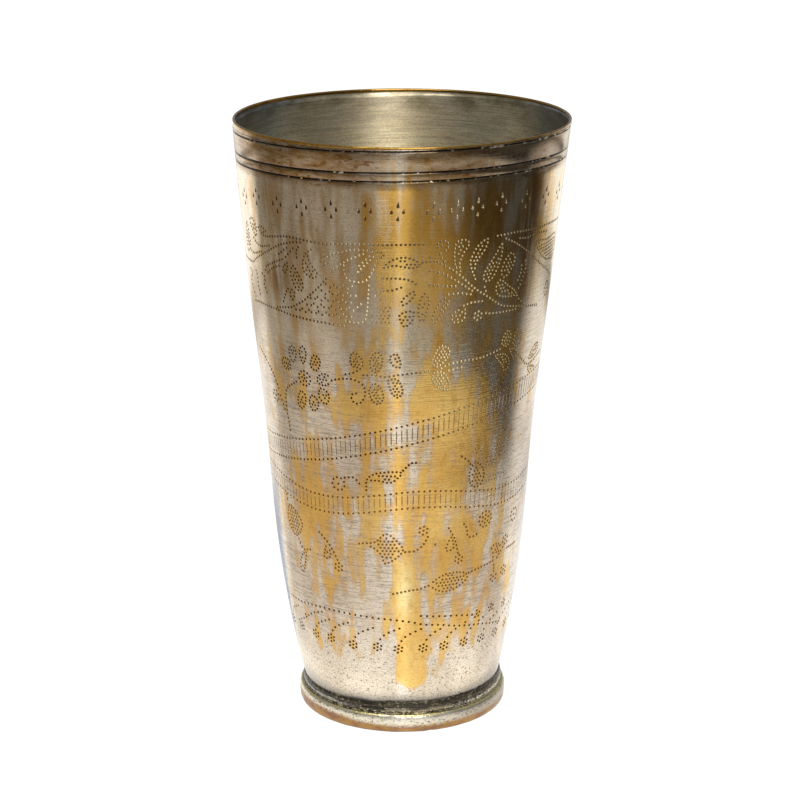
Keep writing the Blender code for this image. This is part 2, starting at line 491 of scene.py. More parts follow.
@dataclass(frozen=True)
class FootBrass:
    """Turned brass bead, tinned above and rubbed bare below, with soot and bright specks on its shoulder."""

    tin: str = "#E0D9C8"
    grey: str = "#827A70"
    brass: str = "#9C7A4E"
    copper: str = "#87634E"
    soot: str = "#8A806E"
    deep_soot: str = "#4A463F"
    cream: str = "#CFC7AA"
    edge: str = "#E4D596"
    # Colour of the painted bluish reflection at the sides of the shoulder.
    cool_reflection: str = "#9EA1A6"
    blotch: Spot = (0.9, 0.6)
    cloud: Spot = (6.0, 2.5)
    wander: float = 2.2
    bare_level: Spot = (5.3, 4.0)
    bare_left: Spot = (-4.0, -26.0)
    left_drop: float = 1.3
    painted_grey_right: Spot = (5.0, 24.0)
    sides: Spot = (10.0, 26.0)
    soot_height: Spot = (5.05, 5.45)
    speck_height: Spot = (6.6, 5.35)
    edge_rise: Spot = (4.75, 5.0)
    edge_fall: Spot = (5.4, 5.28)
    roughness: Spot = (0.26, 0.42)
    lump_depth: float = 0.12

    def material(self) -> bpy.types.Material:
        """Wires the finish.

        Returns:
            The material of the foot ring.
        """
        # Turned brass under thin tin gives the eye a grey bead with a warm lower edge and a sooty shoulder.
        use = Palette("worn_foot_brass")
        blotches = use.grain(*self.blotch)
        clouds = use.grain(*self.cloud)
        ragged = use.add(Step.PLUS, use.add(Step.TIMES, blotches, 1.5), use.add(Step.TIMES, clouds, 0.7))
        ragged = use.add(Step.TIMES, ragged, self.wander * MM)
        level = use.add(Step.PLUS, use.add(Step.UP, use.place), ragged)
        level = use.add(Step.MINUS, level, use.aside(self.bare_left, 0.0, self.left_drop * MM))
        brass = use.add(Step.LAY, use.add(Step.RAMP, clouds, 0.4, 0.6), self.brass, self.copper)
        tin = use.add(Step.LAY, use.add(Step.RAMP, blotches, 0.50, 0.70), self.tin, self.grey)
        tin = use.add(Step.LAY, use.add(Step.RAMP, clouds, 0.58, 0.72), tin, self.brass)
        # Painted shade: the bead's tin turns grey towards the right.
        tin = use.add(Step.LAY, use.aside(self.painted_grey_right, 0.0, 0.72), tin, self.grey)
        metal = use.add(Step.LAY, use.add(Step.RAMP, level, *metres(self.bare_level)), tin, brass)
        dark = use.add(Step.LAY, use.add(Step.RAMP, clouds, 0.38, 0.60), self.soot, self.deep_soot)
        # Painted reflection: the shoulder turns bluish grey towards both sides.
        aside = use.add(Step.UNSIGNED, use.add(Step.ACROSS, use.place))
        aside = use.add(Step.RAMP, aside, *metres(self.sides), 0.0, 0.8)
        cooled = use.add(Step.TIMES, aside, use.add(Step.RAMP, blotches, 0.35, 0.6))
        dark = use.add(Step.LAY, cooled, dark, self.cool_reflection)
        more = use.upward(self.speck_height, 0.02, 0.15)
        more = use.add(Step.PLUS, more, use.aside(self.sides, 0.0, 0.12))
        more = use.add(Step.PLUS, blotches, more)
        specks = use.add(Step.LAY, use.add(Step.RAMP, more, 0.60, 0.70), dark, self.cream)
        metal = use.add(Step.LAY, use.upward(self.soot_height), metal, specks)
        # The pale line on the bead's top edge is worn brass, and partly a painted highlight.
        rubbed = use.add(Step.TIMES, use.upward(self.edge_rise), use.upward(self.edge_fall))
        rubbed = use.add(Step.TIMES, rubbed, use.add(Step.RAMP, clouds, 0.40, 0.52, 0.2, 0.9))
        metal = use.add(Step.LAY, rubbed, metal, self.edge)
        rough = use.add(Step.RAMP, blotches, *NOISE_MOST, *self.roughness)
        use.set(Base_Color=metal, Metallic=1.0, Roughness=rough)
        use.set(Normal=use.add(Step.RELIEF, blotches, 1.0, self.lump_depth * MM))
        return use.material


@dataclass(frozen=True)
class OldSolder:
    """Soft solder that ran and darkened: lumpy and dull, with paler specks."""

    name: str
    bright: str
    dark: str
    specks: Spot
    blotch: Spot = (1.2, 0.7)
    roughness: Spot = (0.3, 0.5)
    lump_depth: float = 0.12

    def material(self) -> bpy.types.Material:
        """Wires the finish.

        Returns:
            The material of a solder seam.
        """
        # Solder that ran and was never filed gives the eye a lumpy dull grey with small glints.
        use = Palette(self.name)
        blotches = use.grain(*self.blotch)
        metal = use.add(Step.LAY, use.add(Step.RAMP, blotches, *self.specks), self.dark, self.bright)
        rough = use.add(Step.RAMP, blotches, *NOISE_MOST, *self.roughness)
        use.set(Base_Color=metal, Metallic=1.0, Roughness=rough)
        use.set(Normal=use.add(Step.RELIEF, blotches, 1.0, self.lump_depth * MM))
        return use.material


@dataclass(frozen=True)
class WallForm:
    """Shape of the tumbler's wall, with the small faults of hand work."""

    height: float = 174.0
    mouth_radius: float = 47.5
    knee_height: float = 55.0
    knee_radius: float = 36.2
    base_height: float = 5.3
    base_radius: float = 28.1
    thickness: float = 0.9
    hollow: float = 0.6
    hollow_height: float = 92.0
    hollow_spread: float = 24.0
    bow: float = 0.9
    dent: float = 0.10
    dent_size: float = 24.0
    dent_fade: Spot = (12.0, 6.0)
    probe: Spot = (0.4, 0.3)
    line_lean_front: float = 1.0
    line_lean_right: float = 0.7
    lean_from: float = 157.0
    lean_full: float = 161.0
    lip_still: float = 173.55
    lip_line_top: float = 172.15

    def radius(self, height: float) -> float:
        """Outer radius at a height: a taper that draws in below the knee and hollows a little above it.

        Args:
            height: height on the wall.

        Returns:
            The radius.
        """
        slope = (self.mouth_radius - self.knee_radius) / (self.height - self.knee_height)
        drop = self.knee_height - self.base_height
        draw_in = self.knee_radius - slope * drop - self.base_radius
        below = max(0.0, self.knee_height - height)
        hollow = self.hollow * math.exp(-((height - self.hollow_height) / self.hollow_spread) ** 2)
        taper = self.knee_radius + slope * (height - self.knee_height)
        return taper - draw_in * (below / drop) ** 2 - hollow

    def girth(self, height: float) -> float:
        """Millimetres round the wall for each degree, at a height."""
        return math.radians(1.0) * self.radius(height)

    def lean(self, angle: float, height: float) -> float:
        """How much higher the turned lines sit at an angle, because they were cut out of square.

        Args:
            angle: degrees from the front.
            height: height of a line, before its lean.

        Returns:
            The rise.
        """
        turn = math.radians(angle)
        rise = self.line_lean_front * math.cos(turn) + self.line_lean_right * math.sin(turn)
        fade = (self.lip_still - height) / (self.lip_still - self.lip_line_top)
        return rise * smooth_step(self.lean_from, self.lean_full, height) * min(1.0, max(0.0, fade))

    def place(self, angle: float, height: float, inset: float = 0.0) -> Vector:
        """Point of the wall.

        Args:
            angle: degrees from the front.
            height: height on the wall before the lean of the turned lines.
            inset: depth below the outer face.

        Returns:
            The point, in millimetres.
        """
        level = height + self.lean(angle, height)
        return self.upright(angle, level, inset)

    def upright(self, angle: float, level: float, inset: float = 0.0) -> Vector:
        """Point of the wall at a true height, in millimetres.

        Args:
            angle: degrees from the front.
            level: true height.
            inset: depth below the outer face.

        Returns:
            The point.
        """
        turn = math.radians(angle)
        aside, front = math.sin(turn), -math.cos(turn)
        radius = self.radius(level) - inset
        wave = noise.noise(Vector((radius * aside, radius * front, level)) / self.dent_size)
        low, high = self.dent_fade
        still = smooth_step(0.0, low, level - self.base_height) * smooth_step(0.0, high, self.height - level)
        radius += self.dent * wave * still
        rise = (level - self.base_height) / (self.height - self.base_height)
        bow = self.bow * math.sqrt(max(0.0, math.sin(math.pi * min(1.0, max(0.0, rise)))))
        return Vector((radius * aside - bow, radius * front, level))

    def normal(self, angle: float, height: float) -> Vector:
        """Outward direction of the outer face.

        Args:
            angle: degrees from the front.
            height: height before the lean of the turned lines.

        Returns:
            The direction.
        """
        level = height + self.lean(angle, height)
        turn, rise = self.probe
        round_way = self.upright(angle + turn, level) - self.upright(angle - turn, level)
        up_way = self.upright(angle, level + rise) - self.upright(angle, level - rise)
        return round_way.cross(up_way).normalized()


class Mark(Enum):
    """Kinds of punched mark: depth in millimetres, and the slope of its side at edge and floor."""

    DOT = (0.15, 0.85, 0.45)
    DROP = (0.20, 0.8, 0.35)
    CUT = (0.10, 0.9, 0.3)


@dataclass(frozen=True)
class Punch:
    """One mark struck into the wall, with the punch's own sizes in millimetres."""

    angle: float
    height: float
    mark: Mark = Mark.DOT
    size: float = 1.0
    lean: float = 0.0
    length: float = 0.0
    dot_reach: float = 0.40
    dot_floor: float = 0.27
    dot_corners: int = 7
    dot_turn: float = 0.3
    drop_half: Outline = ((0.0, 0.95), (0.19, 0.38), (0.45, -0.22), (0.42, -0.54), (0.16, -0.70))
    drop_floor: float = 0.66
    drop_sink: float = 0.06
    drop_clear: float = 0.8
    cut_half: float = 0.17
    cut_shoulder: float = 0.6
    cut_floor: Spot = (0.35, 0.9)
    cut_clear: Spot = (0.2, 0.96)
    cut_discs: int = 9

    def outline(self) -> list[Spot]:
        """Draws the mark's edge about its middle, in millimetres across and up.

        Returns:
            The edge's points.
        """
        if self.mark is Mark.DOT:
            reach = self.dot_reach * self.size
            turns = [math.tau * i / self.dot_corners + self.dot_turn for i in range(self.dot_corners)]
            return [(reach * math.cos(t), reach * math.sin(t)) for t in turns]
        if self.mark is Mark.DROP:
            loop = self.drop_half + tuple((-x, z) for x, z in reversed(self.drop_half[1:]))
            return [(x * self.size, z * self.size) for x, z in loop]
        half, wide = self.length / 2, self.cut_half * self.size
        low = half * self.cut_shoulder
        return [(0, half), (wide, low), (wide, -low), (0, -half), (-wide, -low), (-wide, low)]

    def rings(self) -> list[tuple[list[Spot], float, float]]:
        """Draws the mark's loops, from its edge to its floor.

        Returns:
            Each loop with its depth and the slope of its side.
        """
        lean = math.radians(self.lean)
        edge = [(x * math.cos(lean) + z * math.sin(lean), z * math.cos(lean) - x * math.sin(lean))
                for x, z in self.outline()]
        if self.mark is Mark.CUT:
            floor = [(x * self.cut_floor[0], z * self.cut_floor[1]) for x, z in edge]
        elif self.mark is Mark.DROP:
            floor = [(x * self.drop_floor, z * self.drop_floor - self.drop_sink) for x, z in edge]
        else:
            reach = self.dot_floor * self.size
            floor = [(reach, 0.0), (0.0, reach), (-reach, 0.0), (0.0, -reach)]
        depth, edge_slope, floor_slope = self.mark.value
        return [(edge, 0.0, edge_slope), (floor, depth, floor_slope)]

    def inward(self, across: float, up: float) -> Spot:
        """Direction from a point of the mark down into it, across and up.

        Args:
            across: place of the point.
            up: place of the point.

        Returns:
            The direction.
        """
        if self.mark is Mark.CUT:
            beside = abs(across) > 0.01
            return (-math.copysign(1.0, across), 0.0) if beside else (0.0, -math.copysign(0.5, up))
        reach = math.hypot(across, up)
        return -across / reach, -up / reach

    def clear_spots(self) -> list[Disc]:
        """Finds the room that other marks keep out of.

        Returns:
            Discs as across, up and reach, about the middle.
        """
        if self.mark is not Mark.CUT:
            reach = max(math.hypot(x, z) for x, z in self.outline())
            return [(0.0, 0.0, reach * (1.0 if self.mark is Mark.DOT else self.drop_clear))]
        lean = math.radians(self.lean)
        wide, part = self.cut_clear
        steps = [self.length * (i / (self.cut_discs - 1) - 0.5) * part for i in range(self.cut_discs)]
        return [(s * math.sin(lean), s * math.cos(lean), wide * self.size) for s in steps]


@dataclass
class PunchPlan:
    """Where every mark goes on the unrolled wall, with none struck into another."""

    form: WallForm
    gap: float = 0.06
    cell: float = 1.0
    seam: float = 179.0
    dot_reach: float = 0.25
    curve_steps: int = 14
    edge_size: float = 0.95
    fill_size: float = 0.92
    fill_tier: float = 0.87
    scale_reach: float = 1.32
    scale_ways: tuple[float, ...] = (-2.76, -2.17, -1.57, -0.97, -0.38)
    fine_pitch: Spot = (1.15, 1.0)
    fine_size: float = 0.62
    fine_wander: Spot = (0.5, 0.3)
    ring_turn: float = 0.4
    punches: list[Punch] = field(default_factory=list)
    taken: dict[tuple[int, int], list[Disc]] = field(default_factory=lambda: defaultdict(list))

    def flat(self, angle: float, height: float) -> Spot:
        """Place on the unrolled wall, in millimetres."""
        return math.radians(angle) * self.form.radius(height), height

    def near(self, across: float, up: float) -> Iterator[Disc]:
        """Looks through the cells round a place.

        Args:
            across: place on the unrolled wall.
            up: its height.

        Returns:
            Discs of the marks there.
        """
        column, row = int(across // self.cell), int(up // self.cell)
        for i in range(column - 1, column + 2):
            for j in range(row - 1, row + 2):
                yield from self.taken[i, j]

    def crowded(self, across: float, up: float, reach: float) -> bool:
        """Whether a disc on the unrolled wall runs into a mark that is there."""
        return any((x - across) ** 2 + (z - up) ** 2 < (r + reach + self.gap) ** 2
                   for x, z, r in self.near(across, up))

    def nearness(self, angle: float, height: float, reach: float = 0.9) -> float:
        """Tells how closely dots crowd round a place.

        Args:
            angle: degrees from the front.
            height: height of the place.
            reach: distance over which a dot counts.

        Returns:
            About 1 beside a lone dot, and about 2 inside a filled leaf.
        """
        across, up = self.flat(angle, height)
        return sum(math.exp(-((x - across) ** 2 + (z - up) ** 2) / reach ** 2)
                   for x, z, r in self.near(across, up) if r > self.dot_reach)

    def strike(self, punch: Punch) -> None:
        """Adds a mark where there is room.

        Args:
            punch: the mark.
        """
        angle = (punch.angle + 180.0) % 360.0 - 180.0
        across, up = self.flat(angle, punch.height)
        discs = [(across + x, up + z, r) for x, z, r in punch.clear_spots()]
        if abs(angle) > self.seam or any(self.crowded(*disc) for disc in discs):
            return
        for x, z, r in discs:
            self.taken[int(x // self.cell), int(z // self.cell)].append((x, z, r))
        self.punches.append(replace(punch, angle=angle))

    def curve(self, path: Sequence[Spot], closed: bool = False) -> list[Spot]:
        """Smooth line through the points of a path.

        Args:
            path: points as angle and height.
            closed: whether the line comes back to its start.

        Returns:
            Close points along the line.
        """
        count = len(path)
        line = []
        for leg in range(count if closed else count - 1):
            ends = (leg - 1, leg, leg + 1, leg + 2)
            p, q, r, s = (path[i % count] if closed else path[min(max(i, 0), count - 1)] for i in ends)
            for step in range(self.curve_steps):
                t = step / self.curve_steps
                line.append(tuple(
                    0.5 * (2 * b + (c - a) * t + (2 * a - 5 * b + 4 * c - d) * t ** 2
                           + (3 * b - a - 3 * c + d) * t ** 3) for a, b, c, d in zip(p, q, r, s)))
        return line + [path[0] if closed else path[-1]]

    def spaced(self, line: Sequence[Spot], pitch: float) -> list[Spot]:
        """Points at an even pitch along a line on the wall.

        Args:
            line: close points as angle and height.
            pitch: distance wanted.

        Returns:
            The points.
        """
        flat = [self.flat(*spot) for spot in line]
        lengths = [math.dist(a, b) for a, b in zip(flat, flat[1:])]
        step = sum(lengths) / max(1, round(sum(lengths) / pitch))
        walked, goal, spots = 0.0, 0.0, []
        for start, end, length in zip(line, line[1:], lengths):
            while length > 0 and goal <= walked + length + 1e-9:
                t = (goal - walked) / length
                spots.append((start[0] + (end[0] - start[0]) * t, start[1] + (end[1] - start[1]) * t))
                goal += step
            walked += length
        return spots

    def row(self, path: Sequence[Spot], turn: float, pitch: float = 1.22) -> None:
        """Strikes a row of dots along a smooth path, turned round the tumbler by some degrees."""
        for angle, height in self.spaced(self.curve(path), pitch):
            self.strike(Punch(angle + turn, height))

    def leaf(self, path: Sequence[Spot], turn: float, pitch: float) -> None:
        """Strikes a closed outline of dots, and fills it with dots.

        Args:
            path: corners of the outline as angle and height.
            turn: degrees to turn it round the tumbler.
            pitch: distance between dots.
        """
        line = self.curve(path, True)
        for angle, height in self.spaced(line, pitch)[:-1]:
            self.strike(Punch(angle + turn, height, size=self.edge_size))
        for angle, height in self.lattice(line, pitch, pitch * self.fill_tier):
            self.strike(Punch(angle + turn, height, size=self.fill_size))

    def lattice(self, path: Sequence[Spot], pitch: float, tier: float) -> list[Spot]:
        """Staggered points inside a closed outline.

        Args:
            path: outline as angle and height.
            pitch: distance between points of a row, in millimetres.
            tier: distance between rows.

        Returns:
            The points as angle and height.
        """
        girth = self.form.girth(sum(z for _, z in path) / len(path))
        edge = [(a * girth, z) for a, z in path]
        low, high = min(z for _, z in edge), max(z for _, z in edge)
        left, right = min(x for x, _ in edge), max(x for x, _ in edge)
        spots = []
        for j in range(int((high - low) / tier) + 1):
            for i in range(int((right - left) / pitch) + 2):
                x, z = left + (i + 0.5 * (j % 2)) * pitch, low + j * tier
                if self.inside(x, z, edge):
                    spots.append((x / girth, z))
        return spots

    @staticmethod
    def inside(across: float, up: float, edge: Sequence[Spot]) -> bool:
        """Tests whether a point is inside a closed outline.

        Args:
            across: place of the point.
            up: place of the point.
            edge: the outline.

        Returns:
            True inside.
        """
        within = False
        for (x, z), (u, w) in zip(edge, list(edge[1:]) + [edge[0]]):
            if (z > up) != (w > up) and across < (u - x) * (up - z) / (w - z) + x:
                within = not within
        return within

    def scales(self, path: Sequence[Spot], turn: float) -> None:
        """Strikes staggered rows of dotted scales inside an outline, like a pine cone's.

        Args:
            path: outline as angle and height.
            turn: degrees to turn it round the tumbler.
        """
        girth, reach = self.form.girth(path[0][1]), self.scale_reach
        for angle, height in self.lattice(path, reach * 2.1, reach * 1.55):
            for way in self.scale_ways:
                across, up = reach * math.cos(way), reach * math.sin(way)
                self.strike(Punch(angle + turn + across / girth, height + up))

    def stipple(self, path: Sequence[Spot], turn: float) -> None:
        """Strikes fine dots over the inside of an outline.

        Args:
            path: outline as angle and height.
            turn: degrees to turn it round the tumbler.
        """
        for angle, height in self.lattice(path, *self.fine_pitch):
            wander = noise.noise(Vector((angle * 1.7, height * 1.3, 0.4)))
            across, up = (share * wander for share in self.fine_wander)
            self.strike(Punch(angle + turn + across, height + up, size=self.fine_size))

    def ring(self, angle: float, height: float, reach: float, count: int, turn: float) -> None:
        """Strikes a ring of dots, with one in the middle if there is room.

        Args:
            angle: angle of its middle.
            height: height of its middle.
            reach: its radius.
            count: dots round it.
            turn: degrees to turn it round the tumbler.
        """
        girth = self.form.girth(height)
        for i in range(count):
            way = math.tau * i / count + self.ring_turn
            self.strike(Punch(angle + turn + reach * math.cos(way) / girth, height + reach * math.sin(way)))
        self.strike(Punch(angle + turn, height))


@dataclass(frozen=True)
class Tracery:
    """Dotted ornament drawn for the front, in degrees and millimetres, and struck again on the back."""

    stems: tuple[Outline, ...] = ()
    buds: tuple[Bud, ...] = ()
    leaves: tuple[Outline, ...] = ()
    cones: tuple[Outline, ...] = ()
    fine: tuple[Outline, ...] = ()
    leaf_pitch: float = 1.12

    def strike(self, plan: PunchPlan) -> None:
        """Strikes stems, buds, leaves, scaled cones and fine stipple, in this order.

        Args:
            plan: plan to strike into.
        """
        for turn in HALVES:
            for path in self.stems:
                plan.row(path, turn)
            for bud in self.buds:
                plan.ring(*bud, turn)
            for path in self.leaves:
                plan.leaf(path, turn, self.leaf_pitch)
            for path in self.cones:
                plan.scales(path, turn)
            for path in self.fine:
                plan.stipple(path, turn)


@dataclass(frozen=True)
class LozengeRow:
    """Row of four-drop lozenges under the turned lines."""

    places: Outline = (
        (-70.5, 154.5), (-59.5, 156.0), (-47, 155.5), (-35.5, 156), (-24, 156.3), (-12, 156.4), (-1, 156.4),
        (11, 156.2), (19, 156.4), (26.5, 156.6), (36, 157.0), (47.5, 156.6), (60, 156.2), (72.5, 155.6),
        (84, 155.5), (96, 155.5))
    drops: Outline = ((0.1, 1.75), (-1.6, 0.1), (1.6, 0.2), (0.1, -1.8))
    lean: float = 6.0

    def strike(self, plan: PunchPlan) -> None:
        """Strikes the row all round.

        Args:
            plan: plan to strike into.
        """
        for turn in HALVES:
            for angle, height in self.places:
                girth = plan.form.girth(height)
                for across, up in self.drops:
                    plan.strike(Punch(angle + turn + across / girth, height + up, Mark.DROP, lean=self.lean))


@dataclass(frozen=True)
class ScrollBand(Tracery):
    """Wide band of vines, leaves and buds between two dotted lines."""

    stems: tuple[Outline, ...] = (
        ((-54, 145.5), (-47, 146.5), (-41, 147), (-28, 146.6), (-20.5, 147), (-1.5, 147.4), (8, 147.5)),
        ((35.5, 148), (44.5, 148), (56, 147.5), (63.5, 147.5), (79, 147)),
        ((-37, 146), (-41, 145.6), (-47.5, 144), (-55.5, 141), (-65, 137.5), (-69, 136), (-80, 136)),
        ((-71, 140.5), (-69.5, 139.5), (-66, 139), (-59, 140.5), (-56.5, 141)),
        ((-65, 143.5), (-63, 142.5), (-59, 142), (-53.5, 143)),
        ((-39, 141.6), (-39, 143.3), (-38, 144.6)), ((-44.5, 141), (-42.5, 142.5), (-40.6, 144)),
        ((-48, 141.4), (-45.8, 142.6), (-43.6, 143.7)),
        ((-57.5, 135.5), (-56.5, 136.8), (-52.5, 138.2), (-49.5, 139.2), (-45, 140.5)),
        ((-56, 135), (-52.5, 136.8), (-48.5, 138)), ((-44.5, 132), (-46, 130.5), (-47.5, 128)),
        ((-72.5, 133.5), (-70.5, 132.5), (-73, 130.5), (-71.5, 128), (-69.5, 126)),
        ((-66, 134), (-65, 132.5), (-65, 130), (-64, 127.5)),
        ((-60.5, 134), (-58.5, 133), (-59.5, 131), (-58, 129)),
        ((-70.5, 124.5), (-64, 125), (-51.5, 125), (-43, 124.5), (-32.5, 124.2), (-20, 123.8)),
        ((-27, 136.8), (-30, 134.2), (-34.5, 131.2), (-37, 129.6), (-41.5, 127.6), (-44, 126.8),
         (-51.5, 125.7)),
        ((-25.5, 143), (-23.5, 144), (-21, 144.6), (-16.5, 145.5), (-11, 145.6)),
        ((-24.5, 139), (-22, 140.5), (-18.5, 142.4), (-15.5, 143.5), (-12.5, 144.6)),
        ((-19.5, 141), (-19.5, 139.5), (-18.5, 137.4), (-16, 136.6), (-12, 137), (-9.5, 139.5),
         (-8, 142.6)),
        ((-14.5, 139.5), (-12, 141.5), (-9, 143.8)), ((-14, 141.2), (-12, 142.8), (-10.4, 144)),
        ((-10.5, 137), (-11, 133), (-11.5, 128.5), (-12.6, 125.6), (-16.5, 125), (-19.5, 125.4)),
        ((-15, 129.5), (-13.5, 130.5), (-12, 131)), ((7.8, 142.4), (10, 142.6), (12, 142.6)),
        ((-6, 138), (-1, 138), (3.5, 137.5), (5.6, 136.4)),
        ((-8.5, 133), (-6, 134.5), (-3, 134.6), (0.5, 135.5)),
        ((10.5, 143.8), (14, 142), (20, 139), (27.5, 134), (33.5, 131), (39.5, 128), (44.5, 127),
         (63, 124.5)),
        ((10.5, 140), (15, 139), (19, 137.2), (26.5, 133.4)), ((10.5, 136), (14, 135.6), (21.5, 135)),
        ((17.5, 133), (22, 133), (26, 132.4)), ((23.5, 129.4), (26.5, 130), (31, 130)),
        ((31.6, 134), (33, 131.6)),
        ((51, 139), (51.5, 137), (49.8, 133.4), (48.5, 131.6)), ((49, 138), (49, 136), (47.6, 134)),
        ((48, 129.6), (49.6, 128.2), (52.5, 126.8)), ((33, 126.4), (36, 126), (48, 125.6)),
        ((39.5, 146.8), (45.5, 144.5), (54, 140.5), (60, 137.5), (67.5, 134.5), (76.5, 131)),
        ((46.5, 146), (51, 145.6), (56.5, 146), (64.5, 145.5)), ((14, 144.6), (14.4, 143.6), (16.5, 141.4)))
    leaves: tuple[Outline, ...] = (
        ((-32.5, 144.5), (-35.5, 142.5), (-36.5, 139.5), (-35.5, 137.5), (-32, 136.5), (-30.5, 138.2),
         (-32.6, 140), (-34, 142.5)),
        ((-41, 139), (-38.5, 136.5), (-37, 134.5), (-37.5, 132.5), (-40, 132.5), (-42, 135), (-42.5, 137)),
        ((-44, 139.4), (-44, 138), (-45.5, 136.5), (-46.6, 137.6)),
        ((-42.5, 132), (-41.2, 131), (-42.5, 129.2), (-43.6, 130.6)),
        ((-5.5, 141), (-4, 142.5), (-1, 143.6), (2.5, 143.8), (7, 142.2), (5, 141), (1.5, 141.2),
         (-2, 141.6)),
        ((1.2, 130.5), (1, 132), (4.5, 134.2), (5.4, 133.6), (3.5, 131.6)),
        ((1.5, 124.5), (3, 124.8), (4.8, 126.5), (4.6, 128.7), (0, 127.7)),
        ((9, 133.6), (10.6, 131.5), (10.2, 129.5), (9, 126.5), (7.6, 126), (6.8, 128), (7, 130),
         (7.5, 132)),
        ((17.7, 132.2), (17.2, 130), (14.8, 127), (12.5, 124.8), (12.2, 127), (14.8, 131)),
        ((23, 128.7), (24.2, 128), (23.7, 125.4), (20, 124.8), (19.4, 127)),
        ((38.5, 135.2), (36.8, 133), (38.5, 130.8), (45, 129.8), (47.2, 130.6), (42.5, 133.2)),
        ((20, 147.7), (22.5, 148), (24.2, 146.8), (22.3, 144.4), (21, 141.5), (21.6, 138.4),
         (19.3, 141.5), (19, 146)),
        ((31.4, 147.6), (27.5, 145.8), (25.3, 142.5), (25.3, 140.5), (28, 136), (27, 140.7), (30.6, 144.8)),
        ((37.8, 145.4), (35, 142.4), (31.3, 138.2), (31.3, 135.8), (34.7, 136.3), (37.8, 141.4)),
        ((42.5, 142.3), (39.8, 140.2), (38.7, 137.4), (40.5, 135.8), (43.8, 138.3), (44.8, 140.7)),
        ((-60, 147.2), (-57, 147.7), (-54.3, 146.2), (-56.5, 145.4)),
        ((-67, 148.4), (-64, 149), (-61.6, 146.6), (-62.6, 144.4), (-65.6, 146)),
        ((13, 147.5), (14.5, 148.2), (16.4, 147.5), (16.2, 145.8), (14, 144.9)),
        ((-10.5, 144.6), (-8.5, 145.4), (-6.3, 145.2), (-5.8, 144), (-8.5, 143.8)),
        ((-71, 147), (-74, 143), (-73.5, 138.5), (-69.5, 141)),
        ((57, 143.6), (66, 143), (76, 143), (78, 136.5), (67, 137.2), (60, 140.3)))
    buds: tuple[Bud, ...] = (
        (-27.5, 142, 1.25, 6), (29.6, 126, 1.2, 6), (72.5, 127.7, 2.0, 10))
    cones: tuple[Outline, ...] = (
        ((-26, 137), (-30.5, 134), (-36.5, 130), (-42, 126.6), (-32.5, 125.6), (-19, 126.6), (-16, 129),
         (-14.5, 133), (-16, 136), (-18.5, 137.6), (-22.5, 136.4)),)
    fine: tuple[Outline, ...] = (((-8.5, 130.2), (-2.5, 130.6), (-3.5, 125), (-10.5, 124.6)),)


